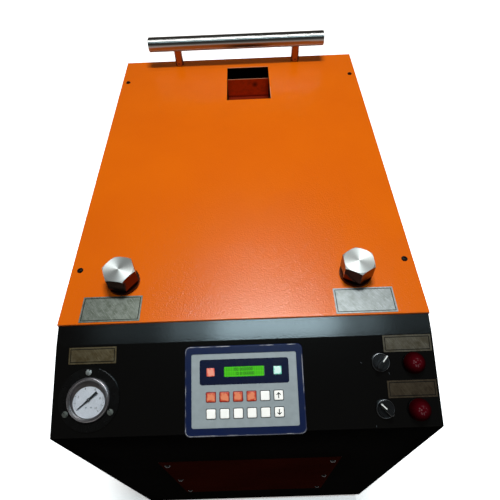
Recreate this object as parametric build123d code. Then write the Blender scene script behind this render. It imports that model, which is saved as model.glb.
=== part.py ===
from build123d import *
import math
import os

# Industrial boiler in a free-standing sheet-metal cabinet.
# Millimetres. +X is to the right of someone at the console, +Y runs to the rear, +Z is up.
# The origin is on the floor, under the middle of the whole machine.

# Cabinet
SHEET = 1.5
BODY_WIDTH = 634.0
BASE_HEIGHT = 55.0
CONSOLE_EDGE_HEIGHT = 828.0
SLOPE_ANGLE = 23.4
SLOPE_LENGTH = 146.6
STRIP_ANGLE = 18.0
STRIP_DEPTH = 31.8
BEND_RADIUS = 3.0
RETURN_FLANGE = 18.0

# Lid
LID_LENGTH = 834.0
LID_STEP = 4.0
LID_FLANGE = 22.0
LID_EDGE_RADIUS = 1.2
DECK_TUCK = 20.0

# Floor tray and levelling feet
TRAY_SHEET = 2.5
TRAY_WALL = 60.0
TRAY_END_GAP = 0.5
FOOT_INSET = 60.0
FOOT_PAD_RADIUS = 28.0
FOOT_PAD_THICKNESS = 10.0
FOOT_PAD_EDGE = 5.0
FOOT_NECK_RADIUS = 9.5
FOOT_NECK_TOP = 20.0
FOOT_STUD_RADIUS = 6.0
FOOT_STUD_ABOVE_TRAY = 25.0
FOOT_NUT_FLATS = 19.0
FOOT_NUT_THICKNESS = 10.0
STUD_HOLE_GAP = 0.5

# Access panel on the front
ACCESS_SIDE_MARGIN = 134.0
ACCESS_HEIGHT = 400.0
ACCESS_DROP = 206.5
ACCESS_LAP = 18.0
ACCESS_CORNER = 3.0
ACCESS_CHAMFER = 0.4

# Louvres
LOUVRE_LENGTH = 120.0
LOUVRE_HEIGHT = 11.0
LOUVRE_REACH = 5.0
LOUVRE_PITCH = 24.0
LOUVRE_ROWS = 7
SIDE_LOUVRE_COLUMNS = 3
SIDE_LOUVRE_SPREAD = 240.0
SIDE_LOUVRE_BOTTOM = 190.0
REAR_LOUVRE_COLUMNS = 2
REAR_LOUVRE_SPREAD = 220.0
REAR_LOUVRE_BOTTOM = 500.0

# Exhaust opening in the lid, and the trough and weir below it
EXHAUST_X = 25.5
EXHAUST_WIDTH = 114.0
EXHAUST_LENGTH = 152.0
EXHAUST_REAR_MARGIN = 49.0
EXHAUST_MARGIN = 2.0
EXHAUST_CORNER = 1.0
TROUGH_DEPTH = 95.0
FLUE_LENGTH = 40.0
WEIR_GAP = 37.0
WEIR_FLANGE = 14.0

# Handle
HANDLE_X = -3.5
HANDLE_RADIUS = 19.0
HANDLE_WALL = 1.5
HANDLE_END = 3.0
HANDLE_LENGTH = 477.0
HANDLE_HEIGHT = 60.0
HANDLE_REAR_MARGIN = 20.0
POST_RADIUS = 11.0
POST_END_MARGIN = 75.5
POST_SCREW_RADIUS = 4.0

# Filler necks and hexagonal caps
DIESEL_CAP_MARGIN = 102.0
WATER_CAP_MARGIN = 111.0
CAP_BEHIND_LID_EDGE = 83.5
CAP_FLATS = 51.0
CAP_HEIGHT = 30.0
CAP_ROOF = 4.0
CAP_CHAMFER_RADIUS = 27.0
CAP_CHAMFER_DEPTH = 2.2
CAP_TOP_HEIGHT = 42.0
DIESEL_CAP_TURN = -9.0
WATER_CAP_TURN = 31.5
NECK_RADIUS = 20.0
NECK_WALL = 3.0
NECK_BELOW_LID = 55.0
NECK_COLLAR_RADIUS = 29.0
NECK_COLLAR_HEIGHT = 6.0
NECK_HOLE_GAP = 0.2
CAP_THREAD_GAP = 0.3
CAP_SEAT_GAP = 0.3

# Name plates, without any lettering
PLATE_THICKNESS = 1.0
LID_PLATE_WIDTH = 105.0
LID_PLATE_DEPTH = 50.0
LID_PLATE_SETBACK = 3.0
LEFT_PLATE_MARGIN = 87.5
RIGHT_PLATE_MARGIN = 104.0
PANEL_PLATE_WIDTH = 80.0
PANEL_PLATE_HEIGHT = 27.3
PLATE_CORNER = 0.8

# Places on the sloping panel: margins from its side edges, S up the slope from its lower edge
GAUGE_MARGIN = 60.5
GAUGE_S = 58.9
GAUGE_PLATE_MARGIN = 63.0
GAUGE_PLATE_S = 129.2
CONTROLLER_S = 67.3
SWITCH_MARGIN = 91.0
LAMP_MARGIN = 36.6
LAMP_PLATE_MARGIN = 43.5
UPPER_ROW_S = 102.4
LOWER_ROW_S = 29.6
LAMP_BELOW_ROW = 2.8
LAMP_PLATE_ABOVE_ROW = 29.4

# Pressure gauge
GAUGE_FLANGE_RADIUS = 50.5
GAUGE_FLANGE_THICKNESS = 2.0
GAUGE_BEZEL_RADIUS = 35.4
GAUGE_BEZEL_WALL = 5.0
GAUGE_BEZEL_HEIGHT = 6.0
GAUGE_BEZEL_STEP = 1.2
GAUGE_BEZEL_STEP_DOWN = 2.4
GAUGE_BEZEL_ROUND = 1.0
GAUGE_BODY_RADIUS = 31.0
GAUGE_BODY_DEPTH = 26.0
GAUGE_BODY_GAP = 0.3
DIAL_THICKNESS = 0.8
DIAL_DEPTH = 6.0
GLASS_THICKNESS = 1.2
GLASS_DEPTH = 1.0
GLASS_LEDGE = 1.0
POINTER_LENGTH = 23.0
POINTER_TAIL = 17.5
POINTER_TIP_HALF = 0.6
POINTER_ROOT_HALF = 1.5
POINTER_TAIL_HALF = 2.4
POINTER_THICKNESS = 0.6
POINTER_LIFT = 1.4
POINTER_HUB_RADIUS = 2.6
POINTER_HUB_HEIGHT = 1.6
POINTER_PIN_RADIUS = 0.9
POINTER_PIN_GAP = 0.05
POINTER_ZERO_ANGLE = 220.0

# Controller, a panel-mounting housing of about 192 by 144
CONTROLLER_WIDTH = 195.0
CONTROLLER_HEIGHT = 141.0
CONTROLLER_PROUD = 8.0
CONTROLLER_CHAMFER = 1.6
CONTROLLER_CORNER = 9.0
CONTROLLER_BODY_WIDTH = 186.0
CONTROLLER_BODY_HEIGHT = 126.0
CONTROLLER_BODY_DEPTH = 60.0
CONTROLLER_BODY_GAP = 0.4
OVERLAY_WIDTH = 173.0
OVERLAY_HEIGHT = 115.5
OVERLAY_SINK = 0.8
OVERLAY_THICKNESS = 1.0
OVERLAY_CORNER = 3.0
DISPLAY_ABOVE_MIDDLE = 28.4
DISPLAY_WIDTH = 66.0
DISPLAY_HEIGHT = 16.0
DISPLAY_SINK = 0.5
DISPLAY_CORNER = 1.5
KEY_SIZE = 14.3
KEY_CORNER = 2.0
KEY_PROUD = 0.8
KEY_CHAMFER = 0.4
KEY_PITCH_X = 22.0
KEY_PITCH_S = 25.7
KEY_COLUMNS = 6
KEY_ROWS = 2
KEY_BLOCK_BELOW_MIDDLE = 23.5
LIT_KEY_SIZE = 13.2
LIT_KEY_X = 55.0

# Selector switches and indicator lamps for 22 mm holes
SWITCH_HOLE_RADIUS = 11.2
SWITCH_BARREL_RADIUS = 11.0
SWITCH_BARREL_DEPTH = 34.0
SWITCH_BEZEL_RADIUS = 14.8
SWITCH_BEZEL_HEIGHT = 4.5
SWITCH_BEZEL_CHAMFER = 1.1
SWITCH_BORE_RADIUS = 5.0
SWITCH_BORE_DEPTH = 15.0
KNOB_RADIUS = 12.0
KNOB_DISC_HEIGHT = 3.0
KNOB_RIDGE_WIDTH = 8.5
KNOB_RIDGE_HEIGHT = 11.0
KNOB_RIDGE_TAPER = 5.0
KNOB_RIDGE_FILLET = 1.0
KNOB_SHAFT_GAP = 0.05
KNOB_SHAFT_LENGTH = 14.0
KNOB_LIFT = 0.3
KNOB_POINTER_REACH = 1.6
UPPER_SWITCH_ANGLE = -40.0
LOWER_SWITCH_ANGLE = 45.0
LAMP_BEZEL_RADIUS = 16.6
LAMP_BEZEL_HEIGHT = 3.0
LAMP_LENS_RADIUS = 15.8
LAMP_LENS_SHOULDER = 2.5
LAMP_SEAT_DEPTH = 1.5

# Rear connections
OUTLET_MARGIN = 137.0
OUTLET_HEIGHT = 420.0
OUTLET_REACH = 32.0
OUTLET_OUTER_RADIUS = 15.0
OUTLET_BORE_RADIUS = 9.3
OUTLET_FLATS = 36.0
OUTLET_FLANGE_THICKNESS = 8.0
OUTLET_INSIDE = 40.0
GLAND_MARGIN = 117.0
GLAND_HEIGHT = 420.0
GLAND_RADIUS = 10.0
GLAND_BORE_RADIUS = 5.0
GLAND_FLATS = 24.0
GLAND_HEX_THICKNESS = 6.0
GLAND_DOME_LENGTH = 18.0
GLAND_INSIDE = 12.0
GLAND_DOME_FILLET = 3.0
PIPE_HOLE_GAP = 0.3

# Worked out from the sizes above
SIDE_X = BODY_WIDTH / 2
DIESEL_CAP_X = DIESEL_CAP_MARGIN - SIDE_X
WATER_CAP_X = SIDE_X - WATER_CAP_MARGIN
GAUGE_X = GAUGE_MARGIN - SIDE_X
GAUGE_PLATE_X = GAUGE_PLATE_MARGIN - SIDE_X
UPPER_SWITCH_PLACE = (SIDE_X - SWITCH_MARGIN, UPPER_ROW_S)
LOWER_SWITCH_PLACE = (SIDE_X - SWITCH_MARGIN, LOWER_ROW_S)
UPPER_LAMP_PLACE = (SIDE_X - LAMP_MARGIN, UPPER_ROW_S - LAMP_BELOW_ROW)
LOWER_LAMP_PLACE = (SIDE_X - LAMP_MARGIN, LOWER_ROW_S - LAMP_BELOW_ROW)
LAMP_PLATE_X = SIDE_X - LAMP_PLATE_MARGIN
OUTLET_X = OUTLET_MARGIN - SIDE_X
GLAND_X = SIDE_X - GLAND_MARGIN
ACCESS_WIDTH = BODY_WIDTH - 2 * ACCESS_SIDE_MARGIN
POST_SPREAD = HANDLE_LENGTH - 2 * POST_END_MARGIN
SLOPE = math.radians(SLOPE_ANGLE)
SLOPE_RUN = SLOPE_LENGTH * math.cos(SLOPE)
STRIP_SLOPE = math.radians(STRIP_ANGLE)
FOLD_HEIGHT = CONSOLE_EDGE_HEIGHT + SLOPE_LENGTH * math.sin(SLOPE)
STRIP_HEIGHT = FOLD_HEIGHT + STRIP_DEPTH * math.tan(STRIP_SLOPE)
LID_TOP = STRIP_HEIGHT + LID_STEP
LID_UNDERSIDE = LID_TOP - SHEET
LID_WIDTH = BODY_WIDTH + 2 * SHEET
CONTROLLER_OVERHANG = CONTROLLER_HEIGHT / 2 - CONTROLLER_S
CONTROLLER_RIM = CONTROLLER_PROUD - CONTROLLER_CHAMFER
FRONT_REACH = CONTROLLER_RIM * math.sin(SLOPE) + CONTROLLER_OVERHANG * math.cos(SLOPE)
OVERALL_DEPTH = FRONT_REACH + SLOPE_RUN + STRIP_DEPTH + LID_LENGTH - SHEET + OUTLET_REACH
FRONT_Y = -OVERALL_DEPTH / 2 + FRONT_REACH
LID_FRONT_Y = FRONT_Y + SLOPE_RUN + STRIP_DEPTH
LID_REAR_Y = LID_FRONT_Y + LID_LENGTH
REAR_Y = LID_REAR_Y - SHEET
EXHAUST_REAR_Y = LID_REAR_Y - EXHAUST_REAR_MARGIN
EXHAUST_FRONT_Y = EXHAUST_REAR_Y - EXHAUST_LENGTH
HANDLE_Y = LID_REAR_Y - HANDLE_REAR_MARGIN
CAP_Y = LID_FRONT_Y + CAP_BEHIND_LID_EDGE
ACCESS_TOP = CONSOLE_EDGE_HEIGHT - ACCESS_DROP
ACCESS_MIDDLE = ACCESS_TOP - ACCESS_HEIGHT / 2

# The sloping panel's own plane: x to the right, y up the slope, z out of the panel
PANEL = Plane(
    origin=(0, FRONT_Y, CONSOLE_EDGE_HEIGHT),
    x_dir=(1, 0, 0),
    z_dir=(0, -math.sin(SLOPE), math.cos(SLOPE)),
)


def on_panel(shape, x=0.0, s=0.0, lift=0.0):
    """Place a shape made about the panel plane's origin at x, s and a height above the panel."""
    return PANEL.location * Pos(x, s, lift) * shape


def upright_cylinder(radius, low, high):
    """A cylinder about Z from one height to another."""
    return Pos(0, 0, low) * Cylinder(radius, high - low, align=(Align.CENTER, Align.CENTER, Align.MIN))


def upright_hexagon(flats, low, high, turn=0.0):
    """A hexagonal prism about Z, of a width across its flats."""
    outline = RegularPolygon(flats / 2, 6, major_radius=False, rotation=turn)
    return Pos(0, 0, low) * extrude(outline, high - low)


def rounded_block(width, height, thickness, corner):
    """A plate with rounded corners that stands on the plane z = 0."""
    return extrude(RectangleRounded(width, height, corner), thickness)


def low_block(width, depth, height):
    """A box centred in x and y that stands on the plane z = 0."""
    return Box(width, depth, height, align=(Align.CENTER, Align.CENTER, Align.MIN))


def hood_profile(reach, height):
    """The side view of a louvre's hood: a quarter ellipse that is open below, x outwards, y up."""
    crown = EllipticalCenterArc((0, 0), reach, height, arc_size=90)
    return make_face([crown, Line((0, height), (0, 0)), Line((0, 0), (reach, 0))])


def louvre_hood(length, reach, height):
    """A solid quarter-ellipse ridge along X that stands out of the plane y = 0 towards -Y."""
    outline = Plane.YZ * mirror(hood_profile(reach, height), Plane.YZ)
    return Pos(-length / 2, 0, 0) * extrude(outline, length)


def louvre_shapes(places):
    """The hoods to add to a sheet that faces -Y, and the hollows to cut from sheet and hoods."""
    hood = louvre_hood(LOUVRE_LENGTH, LOUVRE_REACH, LOUVRE_HEIGHT)
    hollow = louvre_hood(LOUVRE_LENGTH - 2 * SHEET, LOUVRE_REACH - SHEET, LOUVRE_HEIGHT - SHEET)
    slot = Pos(0, SHEET / 2, 0) * Box(
        LOUVRE_LENGTH - 2 * SHEET, SHEET, LOUVRE_HEIGHT - SHEET,
        align=(Align.CENTER, Align.CENTER, Align.MIN))
    hoods = [Pos(x, 0, z) * hood for x, z in places]
    hollows = [Pos(x, 0, z) * (hollow + slot) for x, z in places]
    return hoods, hollows


def louvre_places(columns, spread, bottom):
    """The x and z of each louvre's mouth, in columns side by side."""
    places = []
    for column in range(columns):
        x = (column - (columns - 1) / 2) * spread
        for row in range(LOUVRE_ROWS):
            places.append((x, bottom + row * LOUVRE_PITCH))
    return places


def inner_corner(y, z, below, above):
    """The point inside a fold of the console sheet, between two rises given as angles in radians."""
    sideways = math.sin(below) + math.sin(above)
    downwards = math.cos(below) + math.cos(above)
    reach = SHEET / (1 + math.cos(below - above))
    return y + reach * sideways, z - reach * downwards


def side_face(bottom, inset):
    """The side panel's face in Y and Z: inside the console and rear sheets, less an inset."""
    front_corner = inner_corner(FRONT_Y, CONSOLE_EDGE_HEIGHT, math.pi / 2, SLOPE)
    face = make_face(Polyline(
        (FRONT_Y + SHEET, bottom),
        front_corner,
        inner_corner(FRONT_Y + SLOPE_RUN, FOLD_HEIGHT, SLOPE, STRIP_SLOPE),
        inner_corner(LID_FRONT_Y, STRIP_HEIGHT, STRIP_SLOPE, 0.0),
        (LID_FRONT_Y + DECK_TUCK, STRIP_HEIGHT - SHEET),
        (LID_FRONT_Y + DECK_TUCK, LID_UNDERSIDE),
        (REAR_Y - SHEET, LID_UNDERSIDE),
        (REAR_Y - SHEET, bottom),
        close=True,
    ))
    face = fillet([face.vertices().sort_by_distance(front_corner)[0]], BEND_RADIUS)
    if inset:
        face = offset(face, amount=-inset, kind=Kind.INTERSECTION)
    return Plane.YZ * face


def side_panel(side):
    """A side sheet with returns folded inwards along all but its lower edge, and rows of louvres."""
    outer_x = side * SIDE_X
    outer = Pos(outer_x, 0, 0) * side_face(BASE_HEIGHT, 0)
    inner = Pos(outer_x - side * SHEET, 0, 0) * side_face(BASE_HEIGHT - 2 * SHEET, SHEET)
    plate = extrude(outer, RETURN_FLANGE, dir=(-side, 0, 0))
    plate -= extrude(inner, RETURN_FLANGE, dir=(-side, 0, 0))
    hoods, hollows = louvre_shapes(
        louvre_places(SIDE_LOUVRE_COLUMNS, SIDE_LOUVRE_SPREAD, SIDE_LOUVRE_BOTTOM))
    middle_y = (LID_FRONT_Y + REAR_Y) / 2
    turn = Pos(outer_x, middle_y, 0) * Rot(0, 0, side * 90)
    plate += [turn * hood for hood in hoods]
    plate -= [turn * hollow for hollow in hollows]
    return plate


def rear_panel():
    """The rear sheet, with louvres high up and holes for the steam outlet and the cable gland."""
    height = LID_UNDERSIDE - BASE_HEIGHT
    plate = Pos(0, REAR_Y - SHEET / 2, BASE_HEIGHT) * low_block(BODY_WIDTH, SHEET, height)
    hoods, hollows = louvre_shapes(
        louvre_places(REAR_LOUVRE_COLUMNS, REAR_LOUVRE_SPREAD, REAR_LOUVRE_BOTTOM))
    turn = Pos(0, REAR_Y, 0) * Rot(0, 0, 180)
    plate += [turn * hood for hood in hoods]
    plate -= [turn * hollow for hollow in hollows]
    plate -= rear_bar(OUTLET_X, OUTLET_HEIGHT, OUTLET_OUTER_RADIUS + PIPE_HOLE_GAP, SHEET, SHEET)
    plate -= rear_bar(GLAND_X, GLAND_HEIGHT, GLAND_RADIUS + PIPE_HOLE_GAP, SHEET, SHEET)
    return plate


def rear_bar(x, height, radius, inside, outside):
    """A round bar through the rear panel, from inside it to a distance behind it."""
    bar = upright_cylinder(radius, -inside, outside)
    return Pos(x, REAR_Y, height) * Rot(-90, 0, 0) * bar


def console_front():
    """One bent sheet: the upright front, the sloping panel, the flatter strip and a deck under the lid."""
    outer_bend = (FRONT_Y, CONSOLE_EDGE_HEIGHT)
    inner_bend = inner_corner(*outer_bend, math.pi / 2, SLOPE)
    profile = make_face(Polyline(
        (FRONT_Y, BASE_HEIGHT),
        outer_bend,
        (FRONT_Y + SLOPE_RUN, FOLD_HEIGHT),
        (LID_FRONT_Y, STRIP_HEIGHT),
        (LID_FRONT_Y + DECK_TUCK, STRIP_HEIGHT),
        (LID_FRONT_Y + DECK_TUCK, STRIP_HEIGHT - SHEET),
        inner_corner(LID_FRONT_Y, STRIP_HEIGHT, STRIP_SLOPE, 0.0),
        inner_corner(FRONT_Y + SLOPE_RUN, FOLD_HEIGHT, SLOPE, STRIP_SLOPE),
        inner_bend,
        (FRONT_Y + SHEET, BASE_HEIGHT),
        close=True,
    ))
    profile = fillet([profile.vertices().sort_by_distance(outer_bend)[0]], BEND_RADIUS)
    profile = fillet([profile.vertices().sort_by_distance(inner_bend)[0]], BEND_RADIUS - SHEET)
    profile = Plane.YZ * profile
    sheet = extrude(Pos(-SIDE_X, 0, 0) * profile, BODY_WIDTH, dir=(1, 0, 0))
    cuts = [
        on_panel(upright_cylinder(GAUGE_BODY_RADIUS + GAUGE_BODY_GAP, -2 * SHEET, SHEET), GAUGE_X, GAUGE_S),
        on_panel(Box(CONTROLLER_BODY_WIDTH + 2 * CONTROLLER_BODY_GAP,
                     CONTROLLER_BODY_HEIGHT + 2 * CONTROLLER_BODY_GAP, 4 * SHEET), 0, CONTROLLER_S),
    ]
    for x, s in (UPPER_SWITCH_PLACE, LOWER_SWITCH_PLACE, UPPER_LAMP_PLACE, LOWER_LAMP_PLACE):
        cuts.append(on_panel(upright_cylinder(SWITCH_HOLE_RADIUS, -2 * SHEET, SHEET), x, s))
    hole_width = ACCESS_WIDTH - 2 * ACCESS_LAP
    hole_height = ACCESS_HEIGHT - 2 * ACCESS_LAP
    cuts.append(Pos(0, FRONT_Y, ACCESS_MIDDLE) * Box(hole_width, 4 * SHEET, hole_height))
    return sheet - cuts


def access_panel():
    """The screwed-on cover over the opening in the front."""
    plate = rounded_block(ACCESS_WIDTH, ACCESS_HEIGHT, SHEET, ACCESS_CORNER)
    plate = chamfer(plate.faces().sort_by(Axis.Z)[-1].edges(), ACCESS_CHAMFER)
    return Pos(0, FRONT_Y, ACCESS_MIDDLE) * Rot(90, 0, 0) * plate


def base_tray():
    """The folded floor tray that the panels close round, with holes for the feet's studs."""
    width = BODY_WIDTH - 2 * SHEET
    depth = REAR_Y - FRONT_Y - 2 * (2 * SHEET + TRAY_END_GAP)
    middle_y = (REAR_Y + FRONT_Y) / 2
    tray = low_block(width, depth, TRAY_WALL)
    tray -= Pos(0, 0, TRAY_SHEET) * low_block(width - 2 * TRAY_SHEET, depth - 2 * TRAY_SHEET, TRAY_WALL)
    tray = Pos(0, middle_y, BASE_HEIGHT) * tray
    hole = upright_cylinder(FOOT_STUD_RADIUS + STUD_HOLE_GAP, -TRAY_SHEET, 2 * TRAY_SHEET)
    tray -= [Pos(x, y, BASE_HEIGHT) * hole for x, y in foot_places()]
    return tray


def foot_places():
    """The x and y of the four feet."""
    x = SIDE_X - FOOT_INSET
    return [
        (-x, FRONT_Y + FOOT_INSET),
        (x, FRONT_Y + FOOT_INSET),
        (-x, REAR_Y - FOOT_INSET),
        (x, REAR_Y - FOOT_INSET),
    ]


def levelling_foot():
    """A round pad with a coned top, its stud, and the lock nut that the tray stands on."""
    outline = Polyline(
        (0, 0),
        (FOOT_PAD_RADIUS, 0),
        (FOOT_PAD_RADIUS, FOOT_PAD_EDGE),
        (FOOT_NECK_RADIUS, FOOT_PAD_THICKNESS),
        (FOOT_NECK_RADIUS, FOOT_NECK_TOP),
        (FOOT_STUD_RADIUS, FOOT_NECK_TOP),
        (FOOT_STUD_RADIUS, BASE_HEIGHT + FOOT_STUD_ABOVE_TRAY),
        (0, BASE_HEIGHT + FOOT_STUD_ABOVE_TRAY),
        close=True,
    )
    foot = revolve(Plane.XZ * make_face(outline), Axis.Z)
    return foot + upright_hexagon(FOOT_NUT_FLATS, BASE_HEIGHT - FOOT_NUT_THICKNESS, BASE_HEIGHT)


def lid():
    """The shallow lid: side and rear flanges hang outside the body, the front hem rests on the strip."""
    middle_y = (LID_FRONT_Y + LID_REAR_Y) / 2
    shell = Pos(0, middle_y, LID_TOP - LID_FLANGE) * low_block(LID_WIDTH, LID_LENGTH, LID_FLANGE)
    shell = fillet(shell.faces().sort_by(Axis.Z)[-1].edges(), LID_EDGE_RADIUS)
    inside = low_block(BODY_WIDTH, LID_LENGTH - 2 * SHEET, LID_FLANGE - SHEET)
    shell -= Pos(0, middle_y, LID_TOP - LID_FLANGE) * inside
    below_hem = STRIP_HEIGHT - (LID_TOP - LID_FLANGE)
    shell -= Pos(0, LID_FRONT_Y, LID_TOP - LID_FLANGE) * low_block(BODY_WIDTH, 2 * SHEET, below_hem)
    opening = rounded_block(EXHAUST_WIDTH, EXHAUST_LENGTH, 4 * SHEET, EXHAUST_CORNER)
    opening_y = (EXHAUST_FRONT_Y + EXHAUST_REAR_Y) / 2
    shell -= Pos(EXHAUST_X, opening_y, LID_TOP - 2 * SHEET) * opening
    neck_hole = upright_cylinder(NECK_RADIUS + NECK_HOLE_GAP, LID_TOP - 2 * SHEET, LID_TOP + SHEET)
    shell -= [Pos(x, CAP_Y, 0) * neck_hole for x in (DIESEL_CAP_X, WATER_CAP_X)]
    return shell


def exhaust_trough():
    """The box under the exhaust opening: a floor below the opening and an open flue behind the weir."""
    inner_width = EXHAUST_WIDTH + 2 * EXHAUST_MARGIN
    inner_front = EXHAUST_FRONT_Y - EXHAUST_MARGIN
    weir_front = EXHAUST_REAR_Y + EXHAUST_MARGIN
    inner_length = weir_front + SHEET + FLUE_LENGTH - inner_front
    height = TROUGH_DEPTH
    block = low_block(inner_width + 2 * SHEET, inner_length + 2 * SHEET, height)
    block -= Pos(0, 0, SHEET) * low_block(inner_width, inner_length, height)
    place = Pos(EXHAUST_X, inner_front + inner_length / 2, LID_UNDERSIDE - height)
    trough = place * block
    flue = low_block(inner_width, FLUE_LENGTH, 4 * SHEET)
    flue_y = weir_front + SHEET + FLUE_LENGTH / 2
    trough -= Pos(EXHAUST_X, flue_y, LID_UNDERSIDE - height - 2 * SHEET) * flue
    return trough


def exhaust_weir():
    """The upright sheet behind the opening that flue gas passes over, with a foot flange."""
    width = EXHAUST_WIDTH + 2 * EXHAUST_MARGIN
    floor = LID_UNDERSIDE - TROUGH_DEPTH + SHEET
    top = LID_TOP - WEIR_GAP
    front = EXHAUST_REAR_Y + EXHAUST_MARGIN
    sheet = Pos(EXHAUST_X, front + SHEET / 2, floor) * low_block(width, SHEET, top - floor)
    foot = Pos(EXHAUST_X, front - WEIR_FLANGE / 2, floor) * low_block(width, WEIR_FLANGE, SHEET)
    return sheet + foot


def handle_bar():
    """The round tube of the handle with flat closed ends, and a screw hole over each post."""
    bar = Cylinder(HANDLE_RADIUS, HANDLE_LENGTH)
    bar = chamfer(bar.edges().filter_by(GeomType.CIRCLE), HANDLE_WALL)
    bar -= Cylinder(HANDLE_RADIUS - HANDLE_WALL, HANDLE_LENGTH - 2 * HANDLE_END)
    bar = Pos(HANDLE_X, HANDLE_Y, LID_TOP + HANDLE_HEIGHT) * Rot(0, 90, 0) * bar
    hole = upright_cylinder(POST_SCREW_RADIUS, LID_TOP, LID_TOP + HANDLE_HEIGHT)
    return bar - [Pos(x, HANDLE_Y, 0) * hole for x in handle_post_places()]


def handle_post_places():
    """The x of each post."""
    return [HANDLE_X - POST_SPREAD / 2, HANDLE_X + POST_SPREAD / 2]


def handle_post(x):
    """A round post from the lid, coped to fit round the underside of the tube."""
    post = upright_cylinder(POST_RADIUS, LID_TOP, LID_TOP + HANDLE_HEIGHT)
    cope = Pos(0, 0, LID_TOP + HANDLE_HEIGHT) * Rot(0, 90, 0) * Cylinder(HANDLE_RADIUS, 4 * POST_RADIUS)
    return Pos(x, HANDLE_Y, 0) * (post - cope)


def filler_neck(x):
    """A threaded filler pipe through the lid, with a round collar that rests on it."""
    top = LID_TOP + CAP_TOP_HEIGHT - CAP_ROOF - CAP_SEAT_GAP
    bottom = LID_UNDERSIDE - NECK_BELOW_LID
    neck = upright_cylinder(NECK_RADIUS, bottom, top)
    neck += upright_cylinder(NECK_COLLAR_RADIUS, LID_TOP, LID_TOP + NECK_COLLAR_HEIGHT)
    neck -= upright_cylinder(NECK_RADIUS - NECK_WALL, bottom + NECK_WALL, top)
    return Pos(x, CAP_Y, 0) * neck


def filler_cap(x, turn):
    """A hexagonal cap: turned chamfer on top, blind bore below that slips over the neck."""
    low = LID_TOP + CAP_TOP_HEIGHT - CAP_HEIGHT
    high = LID_TOP + CAP_TOP_HEIGHT
    corner = CAP_FLATS / 2 / math.cos(math.radians(30))
    cone_profile = Polyline(
        (0, low),
        (corner, low),
        (corner, high - CAP_CHAMFER_DEPTH),
        (CAP_CHAMFER_RADIUS, high),
        (0, high),
        close=True,
    )
    turned = revolve(Plane.XZ * make_face(cone_profile), Axis.Z)
    cap = upright_hexagon(CAP_FLATS, low, high, turn) & turned
    cap -= upright_cylinder(NECK_RADIUS + CAP_THREAD_GAP, low, high - CAP_ROOF)
    return Pos(x, CAP_Y, 0) * cap


def lid_plate(x):
    """A thin plate on the lid, in front of a filler cap."""
    plate = rounded_block(LID_PLATE_WIDTH, LID_PLATE_DEPTH, PLATE_THICKNESS, PLATE_CORNER)
    return Pos(x, LID_FRONT_Y + LID_PLATE_SETBACK + LID_PLATE_DEPTH / 2, LID_TOP) * plate


def panel_plate(x, s):
    """A thin plate on the sloping panel."""
    plate = rounded_block(PANEL_PLATE_WIDTH, PANEL_PLATE_HEIGHT, PLATE_THICKNESS, PLATE_CORNER)
    return on_panel(plate, x, s)


def gauge_levels():
    """Heights above the panel: the bezel's rim, the glass's two faces and the dial's two faces."""
    rim = GAUGE_FLANGE_THICKNESS + GAUGE_BEZEL_HEIGHT
    glass_top = rim - GLASS_DEPTH
    glass_bottom = glass_top - GLASS_THICKNESS
    dial_top = rim - DIAL_DEPTH - GLASS_THICKNESS
    return rim, glass_top, glass_bottom, dial_top, dial_top - DIAL_THICKNESS


def gauge_flange():
    """The black disc that the gauge stands in, clamped to the panel."""
    disc = upright_cylinder(GAUGE_FLANGE_RADIUS, 0, GAUGE_FLANGE_THICKNESS)
    disc -= upright_cylinder(GAUGE_BODY_RADIUS + GAUGE_BODY_GAP, -SHEET, GAUGE_FLANGE_THICKNESS + SHEET)
    return on_panel(disc, GAUGE_X, GAUGE_S)


def gauge_case():
    """A turned case: the body behind the panel, the bezel ring in front and the seat of the dial."""
    rim, glass_top, glass_bottom, dial_top, dial_bottom = gauge_levels()
    bore = GAUGE_BEZEL_RADIUS - GAUGE_BEZEL_WALL
    outline = Polyline(
        (0, -GAUGE_BODY_DEPTH),
        (GAUGE_BODY_RADIUS, -GAUGE_BODY_DEPTH),
        (GAUGE_BODY_RADIUS, GAUGE_FLANGE_THICKNESS),
        (GAUGE_BEZEL_RADIUS, GAUGE_FLANGE_THICKNESS),
        (GAUGE_BEZEL_RADIUS, rim - GAUGE_BEZEL_STEP_DOWN),
        (GAUGE_BEZEL_RADIUS - GAUGE_BEZEL_STEP, rim - GAUGE_BEZEL_STEP_DOWN),
        (GAUGE_BEZEL_RADIUS - GAUGE_BEZEL_STEP, rim),
        (bore + GLASS_LEDGE, rim),
        (bore, glass_top),
        (bore, glass_bottom),
        (bore - GLASS_LEDGE, glass_bottom),
        (bore - GLASS_LEDGE, dial_bottom),
        (0, dial_bottom),
        close=True,
    )
    case = revolve(Plane.XZ * make_face(outline), Axis.Z)
    rims = case.edges().filter_by(GeomType.CIRCLE).filter_by(
        lambda edge: edge.radius > GAUGE_BEZEL_RADIUS - 2 * GAUGE_BEZEL_STEP)
    top_rims = rims.filter_by(lambda edge: edge.center().Z > rim - 2 * GAUGE_BEZEL_STEP_DOWN)
    case = fillet([top_rims.sort_by(Axis.Z)[-1]], GAUGE_BEZEL_ROUND)
    return on_panel(case, GAUGE_X, GAUGE_S)


def gauge_dial():
    """The flat dial with the pin that the pointer turns on."""
    rim, glass_top, glass_bottom, dial_top, dial_bottom = gauge_levels()
    radius = GAUGE_BEZEL_RADIUS - GAUGE_BEZEL_WALL - GLASS_LEDGE
    dial = upright_cylinder(radius, dial_bottom, dial_top)
    pin_top = dial_top + POINTER_LIFT + POINTER_HUB_HEIGHT / 2
    dial += upright_cylinder(POINTER_PIN_RADIUS, dial_top, pin_top)
    return on_panel(dial, GAUGE_X, GAUGE_S)


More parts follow.
